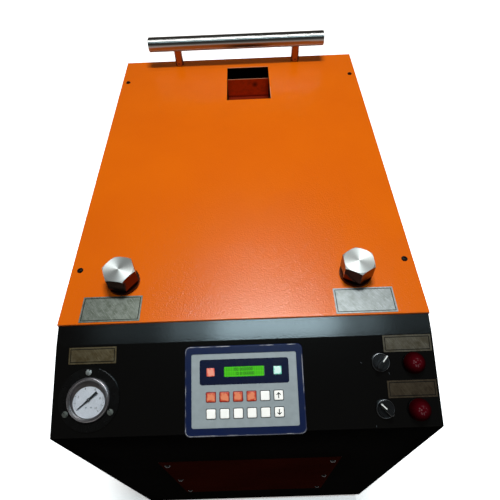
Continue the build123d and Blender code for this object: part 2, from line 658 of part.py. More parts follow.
def gauge_pointer():
    """A tapered pointer with a broad tail and a hub, at rest against its zero stop."""
    dial_top = gauge_levels()[3]
    blade = Polyline(
        (POINTER_LENGTH, -POINTER_TIP_HALF),
        (POINTER_LENGTH, POINTER_TIP_HALF),
        (0, POINTER_ROOT_HALF),
        (-POINTER_TAIL, POINTER_TAIL_HALF),
        (-POINTER_TAIL, -POINTER_TAIL_HALF),
        (0, -POINTER_ROOT_HALF),
        close=True,
    )
    pointer = extrude(make_face(blade), POINTER_THICKNESS)
    pointer += upright_cylinder(POINTER_HUB_RADIUS, 0, POINTER_HUB_HEIGHT)
    pointer -= upright_cylinder(POINTER_PIN_RADIUS + POINTER_PIN_GAP, 0, POINTER_HUB_HEIGHT)
    pointer = Rot(0, 0, POINTER_ZERO_ANGLE) * pointer
    return on_panel(pointer, GAUGE_X, GAUGE_S, dial_top + POINTER_LIFT)


def gauge_glass():
    """The flat glass on its ledge in the bezel."""
    rim, glass_top, glass_bottom, dial_top, dial_bottom = gauge_levels()
    radius = GAUGE_BEZEL_RADIUS - GAUGE_BEZEL_WALL
    return on_panel(upright_cylinder(radius, glass_bottom, glass_top), GAUGE_X, GAUGE_S)


def controller_frame():
    """The moulded housing: a rounded front frame with a sunk face, and the body behind the panel."""
    front = rounded_block(CONTROLLER_WIDTH, CONTROLLER_HEIGHT, CONTROLLER_PROUD, CONTROLLER_CORNER)
    front = chamfer(front.faces().sort_by(Axis.Z)[-1].edges(), CONTROLLER_CHAMFER)
    sink = rounded_block(OVERLAY_WIDTH, OVERLAY_HEIGHT, CONTROLLER_PROUD, OVERLAY_CORNER)
    front -= Pos(0, 0, CONTROLLER_PROUD - OVERLAY_SINK - OVERLAY_THICKNESS) * sink
    body = Pos(0, 0, -CONTROLLER_BODY_DEPTH) * rounded_block(
        CONTROLLER_BODY_WIDTH, CONTROLLER_BODY_HEIGHT, CONTROLLER_BODY_DEPTH, OVERLAY_CORNER)
    return on_panel(front + body, 0, CONTROLLER_S)


def controller_overlay():
    """The flat keypad face, with an opening for the display."""
    overlay = rounded_block(OVERLAY_WIDTH, OVERLAY_HEIGHT, OVERLAY_THICKNESS, OVERLAY_CORNER)
    opening = rounded_block(DISPLAY_WIDTH, DISPLAY_HEIGHT, OVERLAY_THICKNESS, DISPLAY_CORNER)
    overlay -= Pos(0, DISPLAY_ABOVE_MIDDLE, 0) * opening
    return on_panel(overlay, 0, CONTROLLER_S, overlay_floor())


def overlay_floor():
    """The height above the panel of the face under the overlay."""
    return CONTROLLER_PROUD - OVERLAY_SINK - OVERLAY_THICKNESS


def controller_display():
    """The liquid-crystal display, a little below the overlay's face."""
    glass = rounded_block(DISPLAY_WIDTH, DISPLAY_HEIGHT, OVERLAY_THICKNESS - DISPLAY_SINK, DISPLAY_CORNER)
    return on_panel(glass, 0, CONTROLLER_S + DISPLAY_ABOVE_MIDDLE, overlay_floor())


def controller_keys():
    """Twelve square keys in two rows, and a lit key on each side of the display."""
    key = rounded_block(KEY_SIZE, KEY_SIZE, KEY_PROUD, KEY_CORNER)
    key = chamfer(key.faces().sort_by(Axis.Z)[-1].edges(), KEY_CHAMFER)
    lit = rounded_block(LIT_KEY_SIZE, LIT_KEY_SIZE, KEY_PROUD, KEY_CORNER)
    lit = chamfer(lit.faces().sort_by(Axis.Z)[-1].edges(), KEY_CHAMFER)
    face = overlay_floor() + OVERLAY_THICKNESS
    keys = []
    for column in range(KEY_COLUMNS):
        x = (column - (KEY_COLUMNS - 1) / 2) * KEY_PITCH_X
        for row in range(KEY_ROWS):
            s = CONTROLLER_S - KEY_BLOCK_BELOW_MIDDLE + (0.5 - row) * KEY_PITCH_S
            keys.append(on_panel(key, x, s, face))
    for x in (-LIT_KEY_X, LIT_KEY_X):
        keys.append(on_panel(lit, x, CONTROLLER_S + DISPLAY_ABOVE_MIDDLE, face))
    return Compound(children=keys)


def switch_bezel(place):
    """The round collar of a selector switch, with its barrel through the panel and a shaft bore."""
    bezel = upright_cylinder(SWITCH_BEZEL_RADIUS, 0, SWITCH_BEZEL_HEIGHT)
    bezel = chamfer(bezel.faces().sort_by(Axis.Z)[-1].edges(), SWITCH_BEZEL_CHAMFER)
    bezel += upright_cylinder(SWITCH_BARREL_RADIUS, -SWITCH_BARREL_DEPTH, 0)
    bezel -= upright_cylinder(
        SWITCH_BORE_RADIUS, SWITCH_BEZEL_HEIGHT - SWITCH_BORE_DEPTH, SWITCH_BEZEL_HEIGHT)
    return on_panel(bezel, *place)


def switch_knob(place, angle):
    """A disc with a raised grip across it and a shaft in the collar, turned to its setting."""
    base = SWITCH_BEZEL_HEIGHT + KNOB_LIFT
    disc = upright_cylinder(KNOB_RADIUS, base, base + KNOB_DISC_HEIGHT)
    ridge_length = 2 * (KNOB_RADIUS + KNOB_POINTER_REACH)
    ridge = Pos(0, 0, base) * extrude(
        SlotOverall(ridge_length, KNOB_RIDGE_WIDTH, rotation=90), KNOB_RIDGE_HEIGHT, taper=KNOB_RIDGE_TAPER)
    ridge = fillet(ridge.faces().sort_by(Axis.Z)[-1].edges(), KNOB_RIDGE_FILLET)
    shaft = upright_cylinder(
        SWITCH_BORE_RADIUS - KNOB_SHAFT_GAP, SWITCH_BEZEL_HEIGHT - KNOB_SHAFT_LENGTH, base)
    knob = Rot(0, 0, angle) * (disc + ridge + shaft)
    return on_panel(knob, *place)


def lamp_bezel(place):
    """The lamp's collar, with its barrel through the panel and a seat for the lens."""
    bezel = upright_cylinder(LAMP_BEZEL_RADIUS, 0, LAMP_BEZEL_HEIGHT)
    bezel += upright_cylinder(SWITCH_BARREL_RADIUS, -SWITCH_BARREL_DEPTH, 0)
    bezel -= upright_cylinder(LAMP_LENS_RADIUS, LAMP_BEZEL_HEIGHT - LAMP_SEAT_DEPTH, LAMP_BEZEL_HEIGHT)
    return on_panel(bezel, *place)


def lamp_lens(place):
    """The lens: a short cylinder that closes in a round dome."""
    low = LAMP_BEZEL_HEIGHT - LAMP_SEAT_DEPTH
    shoulder = low + LAMP_LENS_SHOULDER
    lens = upright_cylinder(LAMP_LENS_RADIUS, low, shoulder)
    lens += Pos(0, 0, shoulder) * Sphere(
        LAMP_LENS_RADIUS, arc_size1=0, align=(Align.CENTER, Align.CENTER, Align.MIN))
    return on_panel(lens, *place)


def steam_outlet():
    """The steam pipe stub through the rear panel, with a hexagonal collar against the sheet."""
    pipe = rear_bar(OUTLET_X, OUTLET_HEIGHT, OUTLET_OUTER_RADIUS, OUTLET_INSIDE, OUTLET_REACH)
    collar = upright_hexagon(OUTLET_FLATS, 0, OUTLET_FLANGE_THICKNESS)
    pipe += Pos(OUTLET_X, REAR_Y, OUTLET_HEIGHT) * Rot(-90, 0, 0) * collar
    return pipe - rear_bar(OUTLET_X, OUTLET_HEIGHT, OUTLET_BORE_RADIUS, OUTLET_INSIDE, OUTLET_REACH)


def cable_gland():
    """The gland for the supply cable: a threaded body, a hexagon and a domed nut with a bore."""
    body = upright_cylinder(GLAND_RADIUS, -GLAND_INSIDE, GLAND_HEX_THICKNESS)
    body += upright_hexagon(GLAND_FLATS, 0, GLAND_HEX_THICKNESS)
    dome = upright_cylinder(GLAND_RADIUS, GLAND_HEX_THICKNESS, GLAND_DOME_LENGTH)
    dome = fillet(dome.faces().sort_by(Axis.Z)[-1].edges(), GLAND_DOME_FILLET)
    body += dome
    body -= upright_cylinder(GLAND_BORE_RADIUS, -GLAND_INSIDE, GLAND_DOME_LENGTH)
    return Pos(GLAND_X, REAR_Y, GLAND_HEIGHT) * Rot(-90, 0, 0) * body


def build_nodes():
    """Every piece of the machine under its own name."""
    nodes = {
        "base_tray": base_tray(),
        "side_panel_left": side_panel(-1),
        "side_panel_right": side_panel(1),
        "rear_panel": rear_panel(),
        "console_front": console_front(),
        "access_panel": access_panel(),
        "lid": lid(),
        "exhaust_trough": exhaust_trough(),
        "exhaust_weir": exhaust_weir(),
        "handle_bar": handle_bar(),
        "diesel_filler_neck": filler_neck(DIESEL_CAP_X),
        "water_filler_neck": filler_neck(WATER_CAP_X),
        "diesel_filler_cap": filler_cap(DIESEL_CAP_X, DIESEL_CAP_TURN),
        "water_filler_cap": filler_cap(WATER_CAP_X, WATER_CAP_TURN),
        "left_lid_plate": lid_plate(LEFT_PLATE_MARGIN - SIDE_X),
        "right_lid_plate": lid_plate(SIDE_X - RIGHT_PLATE_MARGIN),
        "gauge_plate": panel_plate(GAUGE_PLATE_X, GAUGE_PLATE_S),
        "upper_lamp_plate": panel_plate(LAMP_PLATE_X, UPPER_ROW_S + LAMP_PLATE_ABOVE_ROW),
        "lower_lamp_plate": panel_plate(LAMP_PLATE_X, LOWER_ROW_S + LAMP_PLATE_ABOVE_ROW),
        "gauge_flange": gauge_flange(),
        "gauge_case": gauge_case(),
        "gauge_dial": gauge_dial(),
        "gauge_pointer": gauge_pointer(),
        "gauge_glass": gauge_glass(),
        "controller_frame": controller_frame(),
        "controller_overlay": controller_overlay(),
        "controller_display": controller_display(),
        "controller_keys": controller_keys(),
        "upper_switch_bezel": switch_bezel(UPPER_SWITCH_PLACE),
        "lower_switch_bezel": switch_bezel(LOWER_SWITCH_PLACE),
        "upper_switch_knob": switch_knob(UPPER_SWITCH_PLACE, UPPER_SWITCH_ANGLE),
        "lower_switch_knob": switch_knob(LOWER_SWITCH_PLACE, LOWER_SWITCH_ANGLE),
        "upper_lamp_bezel": lamp_bezel(UPPER_LAMP_PLACE),
        "lower_lamp_bezel": lamp_bezel(LOWER_LAMP_PLACE),
        "upper_lamp_lens": lamp_lens(UPPER_LAMP_PLACE),
        "lower_lamp_lens": lamp_lens(LOWER_LAMP_PLACE),
        "steam_outlet": steam_outlet(),
        "cable_gland": cable_gland(),
    }
    for name, x in zip(("handle_post_left", "handle_post_right"), handle_post_places()):
        nodes[name] = handle_post(x)
    feet = ("foot_front_left", "foot_front_right", "foot_rear_left", "foot_rear_right")
    for name, (x, y) in zip(feet, foot_places()):
        nodes[name] = Pos(x, y, 0) * levelling_foot()
    return nodes


os.makedirs("parts", exist_ok=True)
for node_name, shape in build_nodes().items():
    export_step(shape, f"parts/{node_name}.step")
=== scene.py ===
from functools import partial
import math

import bpy
import numpy as np
from mathutils import Matrix, Vector


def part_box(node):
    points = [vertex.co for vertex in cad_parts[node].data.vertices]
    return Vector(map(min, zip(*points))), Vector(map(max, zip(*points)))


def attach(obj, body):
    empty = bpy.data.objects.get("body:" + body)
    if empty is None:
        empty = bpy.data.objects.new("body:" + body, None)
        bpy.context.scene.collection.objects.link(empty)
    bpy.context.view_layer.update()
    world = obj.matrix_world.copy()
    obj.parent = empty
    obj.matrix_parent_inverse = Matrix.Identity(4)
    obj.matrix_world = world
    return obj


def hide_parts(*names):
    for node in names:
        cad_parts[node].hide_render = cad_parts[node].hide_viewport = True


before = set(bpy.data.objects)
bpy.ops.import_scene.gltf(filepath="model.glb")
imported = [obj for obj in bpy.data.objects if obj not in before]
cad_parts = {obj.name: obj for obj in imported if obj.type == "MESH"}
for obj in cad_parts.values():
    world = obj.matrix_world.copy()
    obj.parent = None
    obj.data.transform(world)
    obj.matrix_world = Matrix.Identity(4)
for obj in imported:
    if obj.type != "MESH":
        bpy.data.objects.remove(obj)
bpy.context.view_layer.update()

# Metres, +X to the right of someone at the console, +Y to the rear, +Z up.
MM = 0.001
SLOPE = math.radians(23.4)
CONSOLE_EDGE_Z = 0.828
LOUVRE_DEPTH = 0.005
FRONT_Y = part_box("console_front")[0].y
REAR_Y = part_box("rear_panel")[1].y - LOUVRE_DEPTH
LID_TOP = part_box("lid")[1].z
POST_FRONT_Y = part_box("handle_post_left")[0].y
_, WEIR_Y, WEIR_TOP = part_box("exhaust_weir")[1]
FRONT_BEND = 0.003
BEND_FOOT_Z = CONSOLE_EDGE_Z - FRONT_BEND * math.tan((math.pi / 2 - SLOPE) / 2)

# The faces that pieces are seated on: a point of the face, its direction to the right and its direction up
FACES = {
    "console": ((0, FRONT_Y, CONSOLE_EDGE_Z), (1, 0, 0), (0, math.cos(SLOPE), math.sin(SLOPE))),
    "lid": ((0, 0, LID_TOP), (1, 0, 0), (0, 1, 0)),
    "front_bend": ((0, FRONT_Y + FRONT_BEND, BEND_FOOT_Z), (0, 1, 0), (0, 0, 1)),
    "front": ((0, FRONT_Y, 0), (1, 0, 0), (0, 0, 1)),
    "posts": ((0, POST_FRONT_Y, 0), (1, 0, 0), (0, 0, 1)),
    "weir_top": ((0, WEIR_Y, WEIR_TOP), (1, 0, 0), (0, 1, 0)),
    "rear": ((0, REAR_Y, 0), (-1, 0, 0), (0, 0, 1)),
}

# Places on the console in millimetres: along it and up its slope from the front bend
GAUGE = (-256.5, 58.9)
SWITCH_X, UPPER_SWITCH_S, LOWER_SWITCH_S = 226, 102.4, 29.6
LAMP_X, UPPER_LAMP_S, LOWER_LAMP_S = 280.4, 99.6, 26.8
CONTROLLER_S, DISPLAY_S, LIT_ROW_S = 67.3, 95.7, 56.65
KEY_PITCH, KEY_ROWS = 22.0, 25.7
# Heights over the sheet that carries them
OVERLAY_TOP, DISPLAY_TOP, DIAL_TOP, KNOB_TOP, PLATE_TOP = 7.2, 6.7, 0.8, 15.8, 1.0


# Shapes

def grid_faces(rows, columns, wrap_rows=False, wrap_columns=True):
    """The four-sided faces between neighbouring rows and columns of a grid of points. A wrapped
    direction closes on its own start. With columns counted anticlockwise and rows going up and
    then inwards, the faces point outwards."""
    index = np.arange(rows * columns).reshape(rows, columns)
    if wrap_rows:
        index = np.vstack([index, index[:1]])
    if wrap_columns:
        index = np.hstack([index, index[:, :1]])
    corners = [index[:-1, :-1], index[:-1, 1:], index[1:, 1:], index[1:, :-1]]
    return np.stack(corners, axis=-1).reshape(-1, 4)


def turned(profile, sides=48, closed=False):
    """A profile carried round an axis: each row of the profile is (radius, height) or
    (radius, height, hexagon), and its ring is radius times (cosine, sine) of the turn. Where
    hexagon is 1 the ring is drawn in to a hexagon of that across-corner radius."""
    turn = np.arange(sides) * (2 * math.pi / sides)
    rows = np.array([list(row) + [0.0] * (3 - len(row)) for row in profile], float)
    sixth = math.pi / 3
    flats = math.cos(sixth / 2) / np.cos(np.mod(turn, sixth) - sixth / 2)
    reach = rows[:, :1] * (1 + rows[:, 2:3] * (flats[None, :] - 1))
    height = np.repeat(rows[:, 1:2], sides, axis=1)
    points = np.stack([reach * np.cos(turn), reach * np.sin(turn), height], axis=-1)
    return points.reshape(-1, 3), grid_faces(len(rows), sides, wrap_rows=closed)


def hexagon_cap(flats, low, high, top_radius, chamfer, bore, roof, turn, steps=10):
    """A hexagonal cap with a blind bore and its top corners turned off: at each turn the wall stands
    at half the width across flats divided by the cosine of the turn from the flat's middle, and
    reaches up to the cone that falls from the top circle to the corners."""
    sixth = math.pi / 3
    around = np.arange(6 * steps) * (sixth / steps)
    wall = flats / 2 / np.cos(np.mod(around, sixth) - sixth / 2)
    corner = wall.max()
    fallen = high - chamfer * np.clip((wall - top_radius) / (corner - top_radius), 0, 1)
    rows = [(0, high - roof), (bore, high - roof), (bore, low), (wall, low), (wall, fallen),
            (np.minimum(wall, top_radius), high), (0, high)]
    points = [np.stack([reach * np.cos(around + turn), reach * np.sin(around + turn), level + 0 * wall], -1)
              for reach, level in rows]
    return np.concatenate(points), grid_faces(len(rows), len(around))


def round_wire(radius, thickness, height, start=0.0, sweep=2 * math.pi, sides=72):
    """A wire bent round an axis: a small eight-sided ring of points carried along an arc of the
    radius, from the start angle through the sweep. A whole turn closes on itself; a shorter arc
    tapers to a point at each end, as the sine of its share of the way to the power one half."""
    share = np.linspace(0, 1, sides + 1)
    whole = sweep >= 2 * math.pi
    turn = start + sweep * (share[:-1] if whole else share)
    taper = np.ones(len(turn)) if whole else np.sqrt(np.abs(np.sin(math.pi * share)))
    taper[np.abs(taper) < 1e-6] = 0
    around = np.arange(8) * (math.pi / 4)
    reach = radius + thickness * taper[:, None] * np.cos(around)[None, :]
    rise = height + thickness * taper[:, None] * np.sin(around)[None, :]
    points = np.stack([reach * np.cos(turn)[:, None], reach * np.sin(turn)[:, None], rise], axis=-1)
    return points.reshape(-1, 3), grid_faces(len(turn), 8, wrap_rows=whole)[:, ::-1]


def rounded_ring(half_width, half_height, radius, corner_steps=6):
    """A rectangle with quarter-circle corners: at each corner, the corner's centre plus the radius
    times the cosine and sine of a quarter turn. Anticlockwise from the right side."""
    quarter = np.linspace(0, math.pi / 2, corner_steps)
    turn = (np.arange(4)[:, None] * (math.pi / 2) + quarter[None, :]).ravel()
    side_x = np.repeat([1, -1, -1, 1], corner_steps) * (half_width - radius)
    side_y = np.repeat([1, 1, -1, -1], corner_steps) * (half_height - radius)
    return np.stack([side_x + radius * np.cos(turn), side_y + radius * np.sin(turn)], axis=-1)


def layered(rows, closed=False):
    """Outlines of equally many points one above another, each row (outline, height). Closed rows
    run back to the first, for a frame with an opening."""
    points = [np.column_stack([outline, np.full(len(outline), height)]) for outline, height in rows]
    return np.concatenate(points), grid_faces(len(rows), len(points[0]), wrap_rows=closed)


def stacked(levels, closed=False):
    """Rounded rectangles one above another, each level (half width, half height, corner radius,
    height). A last level of no width closes the top in a point."""
    return layered([(rounded_ring(*level[:3]), level[3]) for level in levels], closed)


def flat_frame(half_width, half_height, radius, band, low, high):
    """A flat frame round an opening: outer wall up, top face inwards, inner wall down, and back."""
    inner = (half_width - band, half_height - band, max(radius - band, 0.05))
    outer = (half_width, half_height, radius)
    return stacked([(*outer, low), (*outer, high), (*inner, high), (*inner, low)], closed=True)


def sheet_with_opening(outside, opening, low, high):
    """A thin sheet with a rectangular opening, both given as (left, right, bottom, top): the outer
    corners at the low and the high level, then the opening's corners at the high and the low one."""
    outer, inner = ([(right, bottom), (right, top), (left, top), (left, bottom)]
                    for left, right, bottom, top in (outside, opening))
    return layered([(outer, low), (outer, high), (inner, high), (inner, low)], closed=True)


def prism(outline, low, high, middle=(0.0, 0.0)):
    """A flat-topped solid on any outline that can be seen whole from its middle point: the outline
    at the low and the high level, and a point in the middle of each to close it."""
    centre = np.tile(middle, (len(outline), 1))
    return layered([(centre, low), (outline, low), (outline, high), (centre, high)])


def bar(x0, y0, x1, y1, width, low, high):
    """A thin flat strip from one point to another: the ends moved half the width to each side."""
    along = np.array([x1 - x0, y1 - y0], float)
    along /= np.linalg.norm(along)
    side = np.array([-along[1], along[0]]) * width / 2
    start, end = np.array([x0, y0], float), np.array([x1, y1], float)
    return prism([start - side, end - side, end + side, start + side], low, high, (start + end) / 2)


def bend_film(radius, rise, end_angle, half_length, steps=7):
    """A film over a bend in sheet: an arc about the bend's centre from straight forward to an end
    angle, at the bend's radius plus the film's rise and then back at the radius less it, carried
    along the bend from end to end. Points are along the depth, up, and along the bend."""
    arc = np.linspace(math.pi, math.radians(end_angle), steps)
    outer = (radius + rise) * np.stack([np.cos(arc), np.sin(arc)], -1)
    inner = (radius - rise) * np.stack([np.cos(arc), np.sin(arc)], -1)
    ring = np.concatenate([outer, inner[::-1]])
    points, faces = prism(ring, -half_length, half_length, ring.mean(axis=0))
    return points, faces[:, ::-1]


def slotted_head(radius, height, slot_half, slot_depth, rows=25):
    """A round screw head with a slot. Chords across the head, close together at the slot's walls,
    carry points from one side to the other: x is the chord's place, y its half length times a
    share from -1 to 1, and z falls as the square of the distance from the middle, less the slot."""
    x = np.array([-1, -0.98, -0.9, -0.75, -0.55, -0.35]) * radius
    x = np.concatenate([x, [-slot_half - 0.02, -slot_half], [slot_half, slot_half + 0.02], -x[::-1]])
    share = np.sin(np.linspace(-math.pi / 2, math.pi / 2, rows))
    chord = np.sqrt(np.maximum(radius ** 2 - x ** 2, 0))
    y = chord[:, None] * share[None, :]
    distance = np.sqrt(x[:, None] ** 2 + y ** 2) / radius
    z = height * (1 - 0.2 * distance ** 2)
    z[np.abs(x) <= slot_half + 1e-9] -= slot_depth
    top = np.stack([np.repeat(x[:, None], rows, axis=1), y, z], axis=-1)
    bottom = top * [1, 1, 0]
    count = len(x) * rows
    top_faces = grid_faces(len(x), rows, wrap_columns=False)[:, ::-1]
    index = np.arange(count).reshape(len(x), rows)
    rim = np.concatenate([index[:, 0], index[-1, 1:], index[-2::-1, -1], index[0, -2:0:-1]])
    following = np.roll(rim, -1)
    wall = np.stack([rim + count, following + count, following, rim], axis=-1)
    faces = np.concatenate([top_faces, top_faces[:, ::-1] + count, wall])
    return np.concatenate([top.reshape(-1, 3), bottom.reshape(-1, 3)]), faces


def figure(text, height):
    """Plain printed figures of a height, centred: their outline as a thin closed film, cut into
    triangles, each given as a four-sided face whose last two corners are the same point."""
    curve = bpy.data.curves.new("figure", "FONT")
    curve.body = text
    curve.align_x = "CENTER"
    curve.align_y = "CENTER"
    curve.size = height / 0.7
    curve.extrude = 0.04
    curve.resolution_u = 3
    made = bpy.data.objects.new("figure", curve)
    mesh = bpy.data.meshes.new_from_object(made)
    mesh.calc_loop_triangles()
    points = np.empty(len(mesh.vertices) * 3)
    mesh.vertices.foreach_get("co", points)
    corners = np.empty(len(mesh.loop_triangles) * 3, dtype=np.int32)
    mesh.loop_triangles.foreach_get("vertices", corners)
    bpy.data.objects.remove(made)
    bpy.data.meshes.remove(mesh)
    bpy.data.curves.remove(curve)
    corners = corners.reshape(-1, 3)
    return points.reshape(-1, 3), np.column_stack([corners, corners[:, 2]])


def seated(shape, face, x=0.0, up=0.0, lift=0.0, turn=0.0):
    """A shape in millimetres turned about its own axis, moved to x, up and lift on a face, and
    taken to the frame: origin plus each coordinate times the face's direction, in metres."""
    points, faces = shape
    origin, right, upwards = (np.array(v, float) for v in FACES[face])
    c, s = math.cos(turn), math.sin(turn)
    turned_points = points @ np.array([[c, s, 0], [-s, c, 0], [0, 0, 1]])
    local = (turned_points + [x, up, lift]) * MM
    return origin + local @ np.stack([right, upwards, np.cross(right, upwards)]), faces


def placed(name, data):
    """A new object of some data, in the scene."""
    made = bpy.data.objects.new(name, data)
    bpy.context.scene.collection.objects.link(made)
    return made


def piece(name, shapes, material, body="cabinet", replaces=(), sharp=30.0):
    """One mesh from several shapes. Points that coincide are welded, so poles and seams close, and
    a face that a weld has narrowed becomes a triangle."""
    starts = np.cumsum([0] + [len(points) for points, faces in shapes[:-1]])
    faces = np.concatenate([faces + start for (points, faces), start in zip(shapes, starts)])
    points = np.concatenate([points for points, _ in shapes])
    # Half a thousandth of a millimetre counts as the same place
    keys = np.round(points * 2e6).astype(np.int64)
    _, first, same = np.unique(keys, axis=0, return_index=True, return_inverse=True)
    corners = same.reshape(-1)[faces]
    doubled = corners == np.roll(corners, -1, axis=1)
    whole = corners[doubled.sum(axis=1) == 0].tolist()
    for corner in range(4):
        narrowed = corners[(doubled.sum(axis=1) == 1) & doubled[:, corner]]
        whole += np.delete(narrowed, corner, axis=1).tolist()
    mesh = bpy.data.meshes.new(name)
    mesh.from_pydata(points[first].tolist(), [], whole)
    mesh.validate()
    mesh.shade_smooth()
    mesh.set_sharp_from_angle(angle=math.radians(sharp))
    made = placed(name, mesh)
    mesh.materials.append(material)
    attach(made, body)
    if replaces:
        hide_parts(*replaces)


# Materials

# The colour inputs of a Mix node
MIX_A, MIX_B = 6, 7
# Nearly all of a noise pattern lies between these two values
NOISE_SPAN = {"From Min": 0.3, "From Max": 0.7}


def linear(hex_colour, share=1.0):
    """An sRGB hex colour as linear light times a share, with full alpha."""
    parts = [int(hex_colour[i:i + 2], 16) / 255 for i in (1, 3, 5)]
    light = [c / 12.92 if c <= 0.04045 else ((c + 0.055) / 1.055) ** 2.4 for c in parts]
    return tuple(share * c for c in light) + (1.0,)


def add(tree, kind, inputs=None, **settings):
    """Add a node, set its properties, and give its inputs plain values, hex colours or links. An
    input that is given a node takes the first of that node's outputs that is in use. A Mix node
    mixes colours."""
    made = tree.nodes.new("ShaderNode" + kind)
    if kind == "Mix":
        made.data_type = "RGBA"
    for name, value in settings.items():
        setattr(made, name, value)
    for name, value in (inputs or {}).items():
        if isinstance(value, str):
            value = linear(value)
        if isinstance(value, bpy.types.Node):
            value = next(output for output in value.outputs if output.enabled)
        if isinstance(value, bpy.types.NodeSocket):
            tree.links.new(value, made.inputs[name])
        else:
            made.inputs[name].default_value = value
    return made


def blank(name):
    """A new material, and the function that adds nodes to its empty tree."""
    made = bpy.data.materials.new(name)
    made.use_nodes = True
    made.node_tree.nodes.clear()
    return made, partial(add, made.node_tree)


def patterned(draw):
    """Turns a function that works out a surface's values from the object's coordinates into one
    that makes a material of a name with that surface. Peel, grain, brush lines and lathe rings are
    drawn at a millimetre or two, coarser than real ones, so that they show."""
    def material(name, *settings, **named):
        made, node = blank(name)
        spot = node("TexCoord").outputs["Object"]
        surface = node("BsdfPrincipled", draw(node, spot, *settings, **named))
        node("OutputMaterial", {"Surface": surface})
        return made
    return material


@patterned
def powder_coat(node, spot, colour, thicker, peel_mm, depth_mm, gloss, specular=0.5):
    """Baked powder coat on sheet steel: the melted powder leaves a low orange peel that frays the
    edge of every reflection, and the film is a little thicker in clouds, where its colour is
    deeper and its shine a little different."""
    peel = node("TexNoise", {"Vector": spot, "Scale": 1 / (peel_mm * MM), "Detail": 1.0})
    clouds = node("TexNoise", {"Vector": spot, "Scale": 1 / 0.16, "Detail": 3.0})
    even = node("MapRange", {"Value": clouds, **NOISE_SPAN})
    tone = node("Mix", {"Factor": even, MIX_A: colour, MIX_B: thicker})
    shine = node("MapRange", {"Value": even, "To Min": gloss[0], "To Max": gloss[1]})
    skin = node("Bump", {"Height": peel, "Distance": depth_mm * MM})
    return {"Base Color": tone, "Roughness": shine, "Normal": skin, "Specular IOR Level": specular}


@patterned
def sooted_coat(node, spot, colour, soot_and_shade, smudge_at, smudge_mm, foot_z):
    """Powder coat in the flue, whose given colours are painted shade: the flue lies in shade under the lid. Soot
    settles in soft blots of a few millimetres, the coat darkens towards the foot as painted shade, and there is
    one darker smudge where the gas strikes."""
    blots = node("TexNoise", {"Vector": spot, "Scale": 1 / 0.014, "Detail": 4.0, "Roughness": 0.6})
    settled = node("MapRange", {"Value": blots, "From Min": 0.45, "From Max": 0.8, "To Max": 0.35})
    away = node("VectorMath", {0: spot, 1: smudge_at}, operation="DISTANCE")
    near = node("MapRange", {"Value": away, "From Max": smudge_mm * MM, "To Min": 0.8, "To Max": 0.0},
                interpolation_type="SMOOTHSTEP")
    up = node("SeparateXYZ", {"Vector": spot}).outputs["Z"]
    # Painted shade: darker towards the foot, down in the flue
    foot = node("MapRange", {
        "Value": up, "From Min": foot_z, "From Max": foot_z + 0.012, "To Min": 0.9, "To Max": 0.0},
        interpolation_type="SMOOTHSTEP")
    blotted = node("Math", {0: settled, 1: near}, operation="MAXIMUM")
    share = node("Math", {0: blotted, 1: foot}, operation="MAXIMUM")
    tone = node("Mix", {"Factor": share, MIX_A: colour, MIX_B: soot_and_shade})
    grit = node("TexNoise", {"Vector": spot, "Scale": 1 / 0.0015, "Detail": 2.0})
    skin = node("Bump", {"Height": grit, "Distance": 0.03 * MM})
    rough = node("MapRange", {"Value": share, "To Min": 0.55, "To Max": 0.9})
    return {"Base Color": tone, "Roughness": rough, "Normal": skin, "Specular IOR Level": 0.1}


@patterned
def polished_steel(node, spot, colour, gloss, stretch=(1, 1, 1), line_mm=1.0, depth_mm=0.01, streak=0.0):
    """Steel with a fine polishing grain: the grain draws highlights out along the X axis, as far as
    streak says, and cloudy patches keep a little more haze."""
    along = node("Mapping", {"Vector": spot, "Scale": stretch})
    grain = node("TexNoise", {"Vector": along, "Scale": 1 / (line_mm * MM), "Detail": 3.0, "Roughness": 0.6})
    even = node("MapRange", {"Value": grain, **NOISE_SPAN})
    cloud = node("TexNoise", {"Vector": spot, "Scale": 1 / 0.06, "Detail": 2.0})
    haze = node("MapRange", {"Value": cloud, **NOISE_SPAN, "To Min": -0.03, "To Max": 0.03})
    shine = node("MapRange", {"Value": even, "To Min": gloss[0], "To Max": gloss[1]})
    rough = node("Math", {0: shine, 1: haze}, operation="ADD")
    tone = node("Mix", {"Factor": even, MIX_A: colour, MIX_B: linear(colour, 0.82)})
    skin = node("Bump", {"Height": grain, "Distance": depth_mm * MM})
    # The coordinates are scaled almost to nothing beside the axis, because a direction that is
    # the same everywhere renders black
    axis = node("Mapping", {"Vector": spot, "Location": (1, 0, 0), "Scale": (0.001, 0.001, 0.001)})
    return {"Base Color": tone, "Roughness": rough, "Normal": skin, "Metallic": 1.0, "Tangent": axis,
            "Anisotropic": streak}


